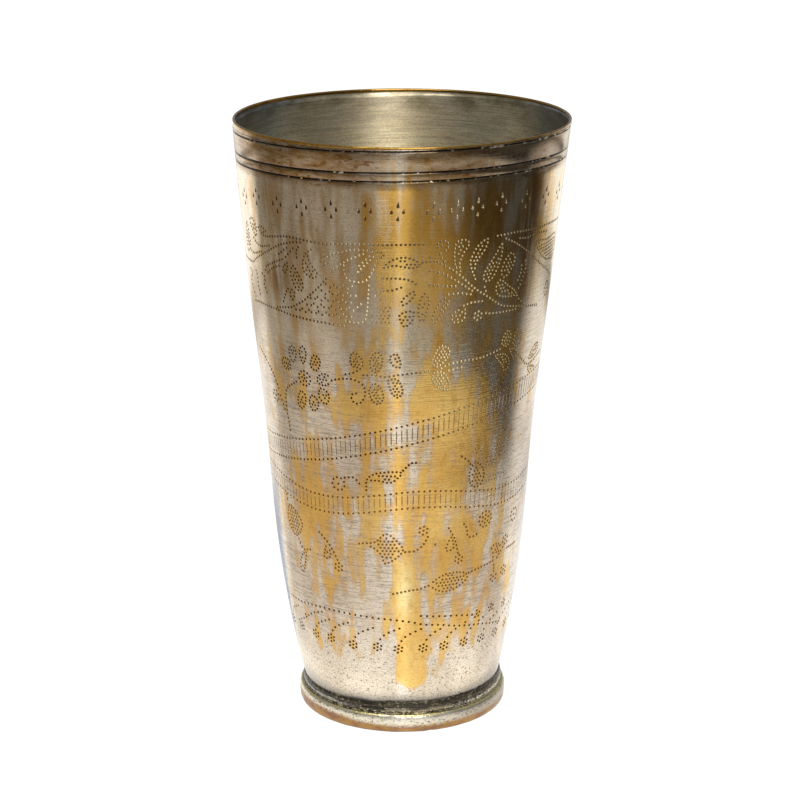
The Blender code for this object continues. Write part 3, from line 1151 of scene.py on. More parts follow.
@dataclass(frozen=True)
class FlowerGarland(Tracery):
    """Garland of open flowers on one winding stem, each petal a loop of dots."""

    leaves: tuple[Outline, ...] = (
        ((-47.2, 114), (-45, 115.4), (-43.3, 114), (-44.2, 111.6), (-46.2, 110.8)),
        ((-51.4, 111), (-52.4, 109.4), (-50, 108), (-47.4, 108.6), (-47.8, 110.8)),
        ((-39.6, 116), (-38.2, 114.6), (-38.6, 112.6), (-40, 111), (-41.2, 112.6), (-41.2, 114.8)),
        ((-34.4, 114), (-31.8, 113), (-32.2, 111), (-34, 109.6), (-36.4, 111)),
        ((-33.4, 107.6), (-31, 109), (-27.8, 108.4), (-28.2, 106.6), (-30.6, 105.6), (-33.2, 106.2)),
        ((-32.2, 104.6), (-29.4, 103.8), (-28.7, 102), (-30.4, 100.2), (-32.8, 101.4), (-33.4, 103)),
        ((-36.8, 102), (-34, 100.6), (-34.6, 98.4), (-37, 97.6), (-38.4, 99.8)),
        ((-43, 102.4), (-40.4, 101.6), (-40.8, 99), (-43, 97.4), (-44.8, 99)),
        ((-17.5, 116.4), (-18.8, 114.5), (-18.2, 112.6), (-16, 112.2), (-14.2, 112.4), (-14.4, 114.6)),
        ((-10, 116), (-11.2, 114), (-10.6, 111.8), (-8.5, 111.2), (-6.8, 113), (-6.4, 115.2), (-8, 116.8)),
        ((-3.2, 115.8), (-1, 116.4), (0.3, 114.5), (0.2, 112.6), (-2, 113), (-3.4, 114.4)),
        ((-10.5, 107.4), (-11.8, 105), (-10.2, 102.4), (-8, 101.8), (-6.2, 103.5), (-6.8, 105.8),
         (-8.5, 107.4)),
        ((-4.2, 108.8), (-3.8, 107), (-2.6, 104.8), (-0.4, 103.8), (1.3, 105.5), (0.2, 108.2),
         (-1.5, 109.2)),
        ((12.3, 113.6), (13.4, 115.8), (14.6, 117.8), (16.6, 118.3), (18.8, 117), (18.6, 115.2),
         (16.4, 113.4), (14.4, 112.4)),
        ((13.3, 110.6), (12.8, 108.6), (14.8, 106.6), (17, 105.6), (19.7, 105.8), (19.2, 108), (17, 110.4),
         (15, 110.8)),
        ((44.5, 119.8), (42.8, 118.4), (42.2, 116.4), (45, 115.4), (46.4, 117), (46.6, 118.8)),
        ((50.5, 119.3), (49.2, 117.5), (48.8, 115.4), (52, 114.4), (53.4, 116), (53.6, 118.3)),
        ((47, 114.2), (50, 113.7), (53.2, 111.3), (51, 110), (49, 112)),
        ((39.5, 113.2), (42, 113.4), (44.7, 112.9), (47.2, 111), (47, 109), (45, 108.2), (43.6, 110)),
        ((62, 109), (66, 112), (71, 112), (70, 109.6)),
        ((62, 106.5), (66, 103.6), (71, 102.8), (69, 105.4)))
    stems: tuple[Outline, ...] = (
        ((-44.8, 105), (-47, 104), (-50.5, 102.4), (-52.5, 100), (-52.8, 97), (-52.5, 94), (-51.5, 89.6)),
        ((-27, 107.4), (-25, 108), (-19, 108.6), (-14.5, 107.4), (-13.4, 105.5), (-13.5, 104), (-15, 102),
         (-17.5, 101.5), (-19, 103), (-18.5, 104.2), (-17, 104.5)),
        ((-21, 109.8), (-17.5, 110.6), (-15, 111.8)),
        ((-14, 110), (-9.5, 110.2), (-5.5, 109.8), (1, 110.5), (11.5, 111.3)),
        ((16, 111.8), (18, 112.6), (21, 113), (25.5, 113.4), (31.5, 113.5), (38, 114.4), (41.5, 115)),
        ((19, 111), (21, 111.2), (24, 111.7)), ((-73, 110.5), (-66, 108), (-61, 105), (-57.5, 101)),
        ((-56.8, 99), (-55.6, 97.4), (-54.2, 95.4)), ((53.4, 111.5), (60, 107.8), (66, 107.6), (76, 109)))
    buds: tuple[Bud, ...] = ((-60.5, 98.4, 1.6, 7), (-40, 106.6, 2.1, 11), (-40, 106.6, 0.95, 5))
    leaf_pitch: float = 0.98


@dataclass(frozen=True)
class LadderRibbon:
    """Ribbon round the tumbler: dots along both edges and thin cuts across, like the rungs of a ladder."""

    middle: float
    rise: float
    waves: int
    shift: float
    width: float
    rungs: int
    dot_size: float = 0.94
    rung_gap: float = 1.3

    def level(self, angle: float) -> float:
        """Height of the ribbon's middle at an angle."""
        return self.middle + self.rise * math.sin(math.radians(self.waves * angle + self.shift))

    def strike(self, plan: PunchPlan) -> None:
        """Strikes the ribbon all round.

        Args:
            plan: plan to strike into.
        """
        half = self.width / 2
        for i in range(self.rungs):
            angle = 360.0 * (i + 0.5) / self.rungs - 180.0
            wobble = noise.noise(Vector((angle * 0.21, self.middle, 3.1)))
            level = self.level(angle)
            for edge in (half, -half):
                plan.strike(Punch(angle, level + edge + 0.12 * wobble, size=self.dot_size))
            plan.strike(Punch(angle, level, Mark.CUT, 1.0, 3.0 * wobble, self.width - self.rung_gap))


@dataclass(frozen=True)
class SprigField(Tracery):
    """Loose sprigs, leaves and buds below the ribbons."""

    stems: tuple[Outline, ...] = (
        ((-23.5, 79), (-19.5, 79.4), (-17, 77.8)), ((-14, 78.2), (-14, 76)),
        ((1.6, 82.2), (4.8, 84.2), (7, 84.4)),
        ((-60, 71.5), (-59, 67.5)), ((-52, 56.6), (-49.5, 54), (-44.5, 54.6)),
        ((2.5, 57.6), (7, 58), (10.5, 59.6), (12.5, 62)),
        ((40.5, 68.4), (40.2, 70.2), (46.5, 69.6), (53, 70)),
        ((27, 85), (30, 83.5), (31.3, 82.3)),
        ((29.5, 64.5), (31, 63), (31.5, 61), (33.5, 60), (36.5, 60.5)),
        ((59, 52.5), (64.5, 52.5), (68, 52.5)),
        ((-3, 44.6), (3.5, 45.5), (9, 46), (13.4, 46.9)), ((33.4, 49), (37, 49.5), (43, 50), (48, 50.5)),
        ((48, 51.6), (47.6, 53)), ((49, 49), (49.5, 47)), ((51, 51), (55, 53.4)),
        ((-38, 61), (-33, 58), (-29, 53.6)), ((22, 64), (25, 60.5), (27, 56)))
    leaves: tuple[Outline, ...] = (
        ((-13.5, 79.2), (-10, 81), (-3.5, 81.7), (1, 81.4), (-1.5, 79.4), (-4, 78.5), (-8.5, 79)),
        ((-18, 59.6), (-11, 60.4), (-6, 63), (-2, 61.5), (1.5, 58.5), (-1, 56), (-6.5, 54), (-8, 56.6),
         (-12, 58.8)),
        ((-57.5, 66), (-52.5, 64.8), (-48.5, 61.5), (-53.5, 57.4), (-58, 59.5), (-59.5, 62.4)),
        ((-47.6, 53.2), (-51, 51.5), (-53, 48), (-51.5, 46.4), (-49.3, 49)),
        ((14.5, 47), (21, 49.8), (30, 49.6), (32.5, 47.5), (26.5, 45), (20, 44.6)),
        ((33.5, 82.5), (37, 81), (38.6, 77.8), (36, 75.2), (32, 76), (31, 79.5)),
        ((46.5, 54.5), (49.5, 55.5), (52.5, 54.5), (52.5, 51.5), (49, 51)),
        ((-34, 58), (-36, 53.6), (-32.6, 54.4)), ((23.4, 61), (21, 57.4), (24.6, 57.6)))
    fine: tuple[Outline, ...] = (
        ((38.5, 80), (39, 83), (43, 86.5), (49.5, 87), (50, 84), (44.5, 81)),
        ((39, 75.5), (41.5, 77.5), (47, 78), (52.5, 77.5), (51.5, 76.5), (45, 75)),
        ((32.5, 88), (34.5, 88), (37, 85.5), (37, 83.5), (33.5, 86)))
    buds: tuple[Bud, ...] = (
        (-26.5, 77, 1.9, 9), (10.5, 64, 1.2, 6), (41, 64.5, 2.3, 11), (41, 64.5, 1.2, 6),
        (56.5, 55.5, 1.3, 6),
        (49.5, 45.2, 1.3, 6), (57.5, 46, 1.3, 6), (16, 59.5, 0.0, 1), (-28.6, 51.4, 1.2, 6),
        (27.6, 54, 1.2, 6), (63, 62, 1.9, 9))


@dataclass(frozen=True)
class RosetteBorder:
    """Lower border: dotted lines with curved stems that hang from them, each ending in a rosette."""

    lines: tuple[Outline, ...] = (
        ((-57, 36), (-49.5, 36.5), (-40, 37), (-24, 37), (-10, 36.6), (0, 36.1), (6.5, 35.4), (12, 34.5),
         (19.5, 34), (27, 33), (35, 32.1), (42.5, 31.4), (49, 30.5), (60.5, 29)),
        ((10, 37.4), (15.5, 37), (22, 36.6), (29.5, 36), (37.5, 35.1)),
        ((-63, 29), (-55.5, 31.2), (-48, 34), (-41.5, 35.4)),
        ((64, 31), (75, 33.5), (95, 35), (108, 35.6), (120, 36)))
    rosettes: Outline = (
        (-48.5, 27.3), (-37.5, 27.7), (-24.5, 27.1), (-11.5, 27.3), (-1, 26.9), (11.5, 27), (22.5, 27),
        (34, 26.9), (45.5, 26.4), (57.5, 26), (70, 26.6), (82, 27), (94, 27.2), (107, 27.4), (119, 27.4))
    stem: Outline = ((1.6, 2.6), (4, 4.2), (7.4, 5.3), (11.2, 6.3))
    flowers: Outline = ((40.5, 35), (50.5, 35.4), (62.5, 34.6))
    pitch: float = 1.75
    rosette_reach: float = 1.15
    rosette_dots: int = 6
    flower_reach: float = 1.05
    flower_dots: int = 5

    def strike(self, plan: PunchPlan) -> None:
        """Strikes the border on the front, and again on the back.

        Args:
            plan: plan to strike into.
        """
        for turn in HALVES:
            for path in self.lines:
                plan.row(path, turn, self.pitch)
            for angle, height in self.rosettes:
                plan.ring(angle, height, self.rosette_reach, self.rosette_dots, turn)
                plan.row([(angle + a, height + z) for a, z in self.stem], turn, self.pitch)
            for angle, height in self.flowers:
                plan.ring(angle, height, self.flower_reach, self.flower_dots, turn)


@dataclass(frozen=True)
class WornPatch:
    """Soft-edged patch of wear or stain on the wall."""

    angle: float
    height: float
    half_angle: float
    half_height: float
    strength: float

    def at(self, angle: float, height: float) -> float:
        """Strength of the patch at a place.

        Args:
            angle: degrees from the front.
            height: height of the place.

        Returns:
            The strength.
        """
        aside = ((angle - self.angle + 180.0) % 360.0 - 180.0) / self.half_angle
        up = (height - self.height) / self.half_height
        away = aside * aside + up * up
        return self.strength * math.exp(-away) if away < 7.0 else 0.0


def patches(*rows: tuple[float, ...]) -> tuple[WornPatch, ...]:
    """Patches from rows of angle, height, half sizes and strength."""
    return tuple(WornPatch(*row) for row in rows)


@dataclass(frozen=True)
class Wear:
    """Tin rubbed through to brass, brown haze, painted shade and painted highlights, alike on front and
    back.
    """

    bare: tuple[WornPatch, ...] = patches(
        (-39, 142, 24, 26, -0.16), (-53, 149, 2.6, 9, 0.30), (-43, 150, 3.0, 10, 0.30),
        (-33, 149, 2.8, 7, 0.32),
        (-23, 150, 2.6, 8, 0.2), (-47, 134, 8, 5, 0.24), (-23, 136, 6, 7, 0.40), (-8, 152, 5, 12, 0.42),
        (-13, 146, 3, 20, 0.25), (4, 152, 8.5, 13, 0.95), (-4, 137, 11, 10, 0.42), (8, 136, 6, 8, 0.50),
        (-7, 118, 9, 10, 0.25), (19, 139, 8, 14, 0.75), (20, 158, 5, 8, 0.15), (32, 155, 6, 12, 0.75),
        (42, 157, 4, 9, 0.22), (49, 156, 3.4, 10, 0.50), (57, 148, 6, 20, 0.40), (40, 137, 11, 9, 0.60),
        (25, 118, 3.4, 16, 0.45), (33, 114, 3.4, 14, 0.45), (46, 118, 4, 10, 0.35), (16, 110, 5, 11, 0.55),
        (-10, 101.5, 42, 5, 0.55), (-24, 107, 4, 10, 0.3), (-16.5, 109, 4, 10, 0.3), (-8, 111, 8, 5, 0.28),
        (23, 95, 13, 14, 0.75), (40, 91, 7, 9, 0.40), (-42, 71, 13, 12, 0.55), (-52, 104, 6, 10, 0.22),
        (-45, 92, 4, 10, 0.30), (-38, 85, 3, 9, 0.30), (-16, 86, 4, 12, 0.28), (-8, 89, 4, 12, 0.48),
        (-24, 72, 14, 7, 0.40), (-8, 72, 6, 8, 0.55), (0, 78, 3, 14, 0.40), (9, 70, 7, 16, 0.50),
        (20, 76, 9, 12, 0.45), (33, 58, 15, 10, 0.55), (16, 55, 7, 10, 0.45), (50, 68, 6, 10, 0.25),
        (48, 88, 4, 10, 0.15), (-46, 58, 5, 8, 0.2), (-30, 58, 5, 8, 0.2), (-14, 62, 6, 8, 0.25),
        (5, 38, 6, 14, 1.05), (6, 25, 6.5, 9, 1.25), (6.4, 18.6, 8.2, 4.6, 1.5), (1, 50, 5, 7, 0.5),
        (1.5, 46.5, 3.5, 4, 0.6), (-40, 55, 10, 8, 0.22), (-22, 56, 8, 8, 0.25), (-10, 52, 6, 6, 0.2),
        (-9.5, 135, 1.8, 9, -0.6), (4, 128, 2.2, 5, -0.5),
        (-44.5, 44, 3, 6, 0.30), (-34, 43, 3, 9, 0.36), (-30, 29, 3, 7, 0.36), (-48, 30, 3, 7, 0.30),
        (-15, 43, 3, 9, 0.34), (-24, 33, 3, 7, 0.34), (-8, 33, 3, 6, 0.25), (18, 32, 4, 9, 0.42),
        (26, 31, 3, 8, 0.38), (33, 31, 3.4, 8, 0.48), (41, 31, 3.4, 8, 0.42), (48, 33, 3, 7, 0.36),
        (52, 44, 5, 9, 0.2), (24, 42, 6, 8, 0.3), (36, 42, 5, 8, 0.25))
    brown: tuple[WornPatch, ...] = patches(
        (36, 82, 7, 9, 0.35), (52, 150, 6, 26, 0.7), (30, 156, 16, 18, 0.4), (-39, 146, 24, 30, 0.40),
        (-49.5, 134, 5, 5, 0.6), (44, 83, 6, 4, 0.3))
    shiny: tuple[WornPatch, ...] = patches(
        (36, 134, 22, 34, 1.2), (-12, 135, 6, 12, 0.7), (-20, 126, 9, 9, 0.5), (-22, 143, 11, 6, 0.65),
        (-13, 133, 6, 8, 0.4), (-7, 109, 8, 9, 0.3), (17, 112, 7, 9, 0.75))
    # Painted highlight: pale brass on the tongue, where its reflection is brightest.
    highlight_patches: tuple[WornPatch, ...] = patches((2.8, 45, 3.4, 8, 0.9), (6, 24, 5, 7, 0.2))
    shade_level: float = 8.6
    shade_side: Spot = (30.0, 75.0)
    whole_low: Spot = (17.0, 26.0)
    rim_rise: Spot = (161.8, 162.6)
    rim_fall: Spot = (172.6, 173.2)
    # The front thinning paints the band's highlight brighter; on the right, painted shade shows in place of
    # the film.
    thin: tuple[Disc, ...] = ((0.75, -3.0, 6.5), (0.5, 43.0, 16.0))
    lip_film: float = 0.90
    lip_gold: Disc = (0.15, 2.0, 30.0)
    most_haze: float = 0.9
    most_rubbed: float = 0.28

    @staticmethod
    def found(group: Sequence[WornPatch], angle: float, height: float) -> float:
        """Strength of all patches of a group at a place."""
        return sum(patch.at(angle + turn, height) for patch in group for turn in HALVES)

    @staticmethod
    def hump(angle: float, strength: float, middle: float, half: float) -> float:
        """Soft hump round an angle, and again half a turn away."""
        return strength * math.exp(-(((angle - middle + 90.0) % 180.0 - 90.0) / half) ** 2)

    def brass(self, angle: float, height: float) -> float:
        """Share of bare brass."""
        whole = 0.4 * self.rim(height) + 0.45 * smooth_step_down(*self.whole_low, height)
        return self.found(self.bare, angle, height) - whole

    def haze(self, angle: float, height: float) -> float:
        """Share of brown haze."""
        return min(self.most_haze, self.found(self.brown, angle, height))

    def rubbed(self, nearness: float) -> float:
        """Extra wear between close dots, where the tin was broken by the punch."""
        return min(self.most_rubbed, max(0.0, 0.2 * (nearness - 0.6)))

    def rim(self, height: float) -> float:
        """Share of the band above the lower turned lines."""
        return smooth_step(*self.rim_rise, height) * smooth_step_down(*self.rim_fall, height)

    def tarnish(self, angle: float, height: float) -> float:
        """Share of brown film on the band, thinned in front as painted highlight, and on the right for
        painted shade.
        """
        return self.rim(height) * (1.0 - sum(self.hump(angle, *place) for place in self.thin))

    def lip(self, angle: float) -> float:
        """Share of the brown film on the lip, rubbed to gold in front."""
        return self.lip_film - self.hump(angle, *self.lip_gold)

    def painted_highlight(self, angle: float, height: float) -> float:
        """Share of the painted highlight on the brass."""
        return min(1.0, self.found(self.highlight_patches, angle, height))

    def gilt(self, angle: float, height: float) -> float:
        """Share of pits that use has rubbed clean."""
        return min(1.0, self.found(self.shiny, angle, height))

    def shade(self, angle: float, height: float) -> float:
        """Painted shade above the foot, with a wavy upper edge, and a little painted shade on the rim.

        Args:
            angle: degrees from the front.
            height: height of the place.

        Returns:
            The share of painted shade.
        """
        turn = math.radians(angle)
        # Painted shade: the wall darkens above the foot, where the foot's dark reflection falls, more widely
        # at the sides.
        edge = self.shade_level + 0.7 * math.cos(turn) + 0.4 * math.sin(turn)
        edge += 0.5 * noise.noise(Vector((angle * 0.07, 1.7, 0.0)))
        spread = 5.0 + 6.0 * smooth_step(*self.shade_side, abs((angle + 90.0) % 180.0 - 90.0))
        soft = smooth_step(edge + spread, edge - 0.3, height)
        foot = 0.35 * smooth_step(edge + 0.6, edge - 0.4, height) + 0.65 * soft * soft
        # Painted shade on the rim band, strongest a little right of the front and likewise on the back.
        return min(1.0, foot + self.rim(height) * (0.25 + 0.15 * math.cos(2 * turn - 1.0)))


def new_piece(name: str, shape: bmesh.types.BMesh, materials: Sequence[bpy.types.Material],
              unit: float = MM) -> bpy.types.Object:
    """Makes an object of a finished shape.

    Args:
        name: name of the piece.
        shape: its mesh; it is freed here.
        materials: its materials in the order of the faces' numbers.
        unit: length of the mesh's unit, in metres.

    Returns:
        The object, at the origin.
    """
    bmesh.ops.scale(shape, vec=(unit, unit, unit), verts=shape.verts)
    mesh = bpy.data.meshes.new(name)
    shape.to_mesh(mesh)
    shape.free()
    mesh.shade_smooth()
    for material in materials:
        mesh.materials.append(material)
    piece = bpy.data.objects.new(name, mesh)
    bpy.context.scene.collection.objects.link(piece)
    return piece


def spun(outline: Sequence[Spot], steps: int, closed: bool) -> bmesh.types.BMesh:
    """Turns an outline once round the Z axis.

    Args:
        outline: points as radius and height, in millimetres.
        steps: segments of the turn.
        closed: whether the outline's last point joins its first.

    Returns:
        The turned shape, still in millimetres, starting at the back seam.
    """
    shape = bmesh.new()
    corners = [shape.verts.new((0.0, radius, height)) for radius, height in outline]
    pairs = zip(corners, corners[1:] + corners[:1] if closed else corners[1:])
    edges = [shape.edges.new(pair) for pair in pairs]
    bmesh.ops.spin(shape, geom=corners + edges, axis=(0, 0, 1), cent=(0, 0, 0), angle=math.tau,
                   steps=steps, use_merge=True)
    bmesh.ops.remove_doubles(shape, verts=shape.verts, dist=1e-5)
    bmesh.ops.delete(shape, geom=[e for e in shape.edges if not e.link_faces], context="EDGES")
    bmesh.ops.recalc_face_normals(shape, faces=shape.faces)
    return shape


def angle_of(point: Vector) -> float:
    """Degrees of a point round the tumbler, from the front."""
    return math.degrees(math.atan2(point.x, -point.y))


@dataclass
class TumblerWall:
    """The wall: a punched outer sheet that joins a turned lip, bore and base."""

    form: WallForm
    wear: Wear
    columns: int = 192
    row_height: float = 2.2
    fine_row: float = 0.5
    fine_rows: int = 14
    clear: float = 0.16
    weld: float = 2e-3
    sheet_top: float = 161.0
    sheet_radius: float = 40.0
    lip_brass: float = 173.05
    lip_wear: float = 1.4
    lip: float = 0.42
    lip_steps: int = 7
    bore_top: float = 168.0
    bore_rows: int = 22
    cut_depth: float = 0.12
    cut_tone: float = 0.48
    lines: tuple[float, ...] = (163.7, 166.1, 171.8)
    under_lip: tuple[Disc, ...] = ((0.10, 172.5, 0.15), (0.16, 172.9, 0.2), (0.12, 173.25, 0.1))
    bore_lip: Outline = ((0.66, 173.3), (0.70, 172.85), (0.90, 172.72), (0.92, 172.5), (0.9, 172.0))
    groove: tuple[Disc, ...] = (
        (-0.62, 0.0, 0.0), (-0.42, -0.05, 0.0), (-0.26, 0.06, 0.65), (-0.08, 0.24, 1.0), (0.08, 0.24, 1.0),
        (0.24, 0.04, 0.65), (0.35, -0.07, 0.0))

    def plan(self) -> PunchPlan:
        """Strikes the whole ornament.

        Returns:
            The plan with every mark.
        """
        plan = PunchPlan(self.form)
        upper = LadderRibbon(middle=92.0, rise=10.0, waves=1, shift=0.0, width=6.0, rungs=168)
        lower = LadderRibbon(middle=71.8, rise=1.6, waves=4, shift=50.0, width=4.8, rungs=152)
        bands = (LozengeRow(), upper, lower, RosetteBorder(), FlowerGarland(), ScrollBand(), SprigField())
        for band in bands:
            band.strike(plan)
        LOG.info("ornament: %d marks", len(plan.punches))
        return plan

    def rows(self) -> list[float]:
        """Spaces the sheet's own rows of vertices.

        Returns:
            The heights, from the base up.
        """
        base = self.form.base_height
        fine = [base + self.fine_row * i for i in range(self.fine_rows)]
        rest = self.sheet_top - fine[-1]
        count = round(rest / self.row_height)
        return fine + [fine[-1] + rest * (i + 1) / count for i in range(count)]

    def sheet(self, shape: bmesh.types.BMesh, notes: dict[str, list[float]],
              normals: list[tuple[Vector, Vector]]) -> None:
        """Adds the punched sheet, triangulated round every mark.

        Args:
            shape: mesh to add to, in millimetres.
            notes: attribute values, one list per name, to add to.
            normals: vertex normals to add to, each for the plain face and for the side of a mark.
        """
        plan, form = self.plan(), self.form
        rows = self.rows()
        spots: list[tuple[float, float, float, Spot]] = []
        edges: list[tuple[int, int]] = []
        wide = 360.0 / self.columns
        for row, height in enumerate(rows):
            for column in range(self.columns + 1):
                angle = column * wide - 180.0
                border = row in (0, len(rows) - 1) or column in (0, self.columns)
                if border or not plan.crowded(*plan.flat(angle, height), self.clear):
                    spots.append((angle, height, 0.0, (0.0, 0.0)))
        for punch in plan.punches:
            girth = form.girth(punch.height)
            for loop, depth, slope in punch.rings():
                first = len(spots)
                for x, z in loop:
                    across, up = punch.inward(x, z)
                    tilt = (slope * across, slope * up)
                    spots.append((punch.angle + x / girth, punch.height + z, depth, tilt))
                edges += [(first + i, first + (i + 1) % len(loop)) for i in range(len(loop))]
        flat = [Vector((math.radians(a) * self.sheet_radius, z)) for a, z, _, _ in spots]
        places, _, faces, origins, _, _ = delaunay_2d_cdt(flat, edges, [], 0, 1e-5)
        made = []
        for place, origin in zip(places, origins):
            spot = (math.degrees(place.x / self.sheet_radius), place.y, 0.0, (0.0, 0.0))
            angle, height, depth, (across, up) = spots[origin[0]] if origin else spot
            made.append(shape.verts.new(form.place(angle, height, depth)))
            plain = form.normal(angle, height)
            side = Vector((math.cos(math.radians(angle)), math.sin(math.radians(angle)), 0.0))
            normals.append((plain, (plain + side * across + plain.cross(side) * -up).normalized()))
            worn = self.wear.brass(angle, height) + self.wear.rubbed(plan.nearness(angle, height))
            pit = 1.0 if depth > self.cut_depth else self.cut_tone if depth else 0.0
            self.note(notes, angle, height, pit=pit, brass_wear=worn)
        for face in faces:
            shape.faces.new([made[i] for i in face])

    def note(self, notes: dict[str, list[float]], angle: float, height: float, **extra: float) -> None:
        """Adds one vertex's attribute values.

        Args:
            notes: attribute values, one list per name, to add to.
            angle: degrees from the front.
            height: height of the vertex.
            extra: values that the place alone does not give.
        """
        wear = self.wear
        maps = {"brass_wear": wear.brass, "haze": wear.haze, "gilt": wear.gilt, "shade": wear.shade,
                "tarnish": wear.tarnish, "painted_highlight": wear.painted_highlight}
        found = {"pit": 0.0, "dirt": 0.0} | {name: share(angle, height) for name, share in maps.items()}
        for name, value in (found | extra).items():
            notes[name].append(value)

    def rim_outline(self) -> tuple[list[tuple[float, float, float]], int]:
        """Outline above the sheet, over the lip, down the bore and under the base.

        Returns:
            Points as inset, height and dirt, and the number of the first point of the bore.
        """
        form, lip = self.form, self.lip
        outer = [(0.0, self.sheet_top, 0.0)]
        for line in self.lines:
            outer += [(inset, line + up, dirt) for up, inset, dirt in self.groove]
        outer += self.under_lip
        for step in range(self.lip_steps + 1):
            turn = math.pi * step / self.lip_steps
            outer.append((lip - lip * math.cos(turn), form.height - lip + lip * math.sin(turn) * 0.98, 0.0))
        first = len(outer)
        depth, count = self.bore_top - form.base_height, self.bore_rows
        bore = list(self.bore_lip)
        bore += [(form.thickness, self.bore_top - depth * i / count) for i in range(count + 1)]
        bore.append((0.0, form.base_height))
        return outer + [(inset, height, 0.0) for inset, height in bore], first

    def build(self, outside: bpy.types.Material, inside: bpy.types.Material) -> bpy.types.Object:
        """Builds the wall.

        Args:
            outside: finish of the punched face and the lip.
            inside: finish of the bore.

        Returns:
            The wall's object.
        """
        form = self.form
        outline, bore_from = self.rim_outline()
        shape = spun([(float(i + 1), 0.0) for i in range(len(outline))], self.columns, False)
        notes: dict[str, list[float]] = defaultdict(list)
        normals: list[tuple[Vector, Vector]] = []
        for vertex in shape.verts:
            angle, step = angle_of(vertex.co), round(vertex.co.xy.length) - 1
            inset, height, dirt = outline[step]
            vertex.co = form.place(angle, height, inset)
            normals.append((Vector(), Vector()))
            lip = {"brass_wear": self.lip_wear, "tarnish": self.wear.lip(angle)}
            self.note(notes, angle, height, dirt=dirt, **(lip if height > self.lip_brass else {}))
            vertex.index = 1 if step >= bore_from else 0
        for face in shape.faces:
            face.material_index = 1 if all(v.index == 1 for v in face.verts) else 0
        self.sheet(shape, notes, normals)
        layers = {name: shape.verts.layers.float.new(name) for name in notes}
        plain = shape.verts.layers.float_vector.new("plain_normal")
        dish = shape.verts.layers.float_vector.new("dish_normal")
        for number, vertex in enumerate(shape.verts):
            for name, layer in layers.items():
                vertex[layer] = notes[name][number]
            vertex[plain], vertex[dish] = normals[number]
        bmesh.ops.remove_doubles(shape, verts=shape.verts, dist=self.weld)
        bmesh.ops.recalc_face_normals(shape, faces=shape.faces)
        wall = new_piece("tumbler_wall", shape, (outside, inside))
        self.set_normals(wall.data)
        return wall

    def set_normals(self, mesh: bpy.types.Mesh) -> None:
        """Gives plain faces the wall's own normals and marks the normals of a smooth dish.

        Args:
            mesh: the wall's mesh; the normals that it carries as attributes are taken off it.
        """
        found = mesh.attributes
        plain = [Vector(item.vector) for item in found["plain_normal"].data]
        dish = [Vector(item.vector) for item in found["dish_normal"].data]
        pits = [item.value > 0.0 for item in found["pit"].data]
        own = [normal.vector.copy() for normal in mesh.vertex_normals]
        normals = []
        for face in mesh.polygons:
            struck = any(pits[i] for i in face.vertices)
            for i in face.vertices:
                chosen = dish[i] if struck else plain[i]
                normals.append(chosen if chosen.length > 0.5 else own[i])
        mesh.normals_split_custom_set(normals)
        for name in ("plain_normal", "dish_normal"):
            found.remove(found[name])


@dataclass
class FootRing:
    """Foot ring: a turned bead with a dark line above it, a sloping shoulder and a seat for the wall.

    The bead's outline has insets from its radius and heights; the shoulder's heights are above the bead.
    """

    form: WallForm
    height: float = 7.4
    seat: float = 5.0
    bead_height: float = 5.5
    bead_radius: float = 30.43
    bore: float = 24.7
    gap: float = 0.3
    steps: int = 200
    lump: float = 0.10
    lump_sizes: Spot = (2.6, 0.9)
    nick_angle: float = 16.0
    nick_depth: float = 0.35
    nick_half: float = 0.9
    nick_height: Spot = (0.3, 1.4)
    bore_edge: Outline = ((0.0, 0.35), (0.3, 0.05), (0.8, 0.0))
    bead: Outline = (
        (3.0, 0.0), (1.0, 0.0), (0.55, 0.12), (0.22, 0.40), (0.06, 0.85), (0.0, 1.5), (-0.03, 2.6),
        (0.0, 3.8), (0.08, 4.5))
    shoulder: Outline = (
        (0.3, -0.5), (0.62, -0.22), (0.95, -0.12), (1.25, -0.16), (1.38, 0.0), (1.26, 0.25), (1.1, 0.55),
        (1.02, 1.0), (1.06, 1.4), (1.2, 1.7), (1.45, 1.9))

    def outline(self) -> list[Spot]:
        """Draws the ring's section, from the bore's lower edge round the outside.

        Returns:
            Points as radius and height.
        """
        points = [(self.bore + across, height) for across, height in self.bore_edge]
        points += [(self.bead_radius - inset, height) for inset, height in self.bead]
        points += [(self.bead_radius - inset, self.bead_height + up) for inset, up in self.shoulder]
        top, base = self.form.radius(self.height), self.form.radius(self.form.base_height)
        points += [(top + self.gap, self.height - 0.1), (base + self.gap, self.seat), (self.bore, self.seat)]
        return points

    def build(self, finish: bpy.types.Material) -> bpy.types.Object:
        """Builds the ring with the lumps and the nick of long use.

        Args:
            finish: its material.

        Returns:
            The ring's object.
        """
        shape = spun(self.outline(), self.steps, True)
        coarse, fine = self.lump_sizes
        for vertex in shape.verts:
            point = vertex.co.copy()
            outside = point.xy.length > self.bead_radius - 2.0 and point.z > 0.05
            if not outside:
                continue
            push = self.lump * noise.noise(point / coarse) + 0.5 * self.lump * noise.noise(point / fine)
            away = abs(angle_of(point) - self.nick_angle) * math.radians(1.0) * self.bead_radius
            nick = self.nick_depth * math.exp(-(away / self.nick_half) ** 2)
            push -= nick * smooth_step_down(*self.nick_height, point.z)
            spread = point.xy.normalized() * push
            vertex.co += Vector((spread.x, spread.y, 0.0))
        return new_piece("tumbler_foot", shape, (finish,))


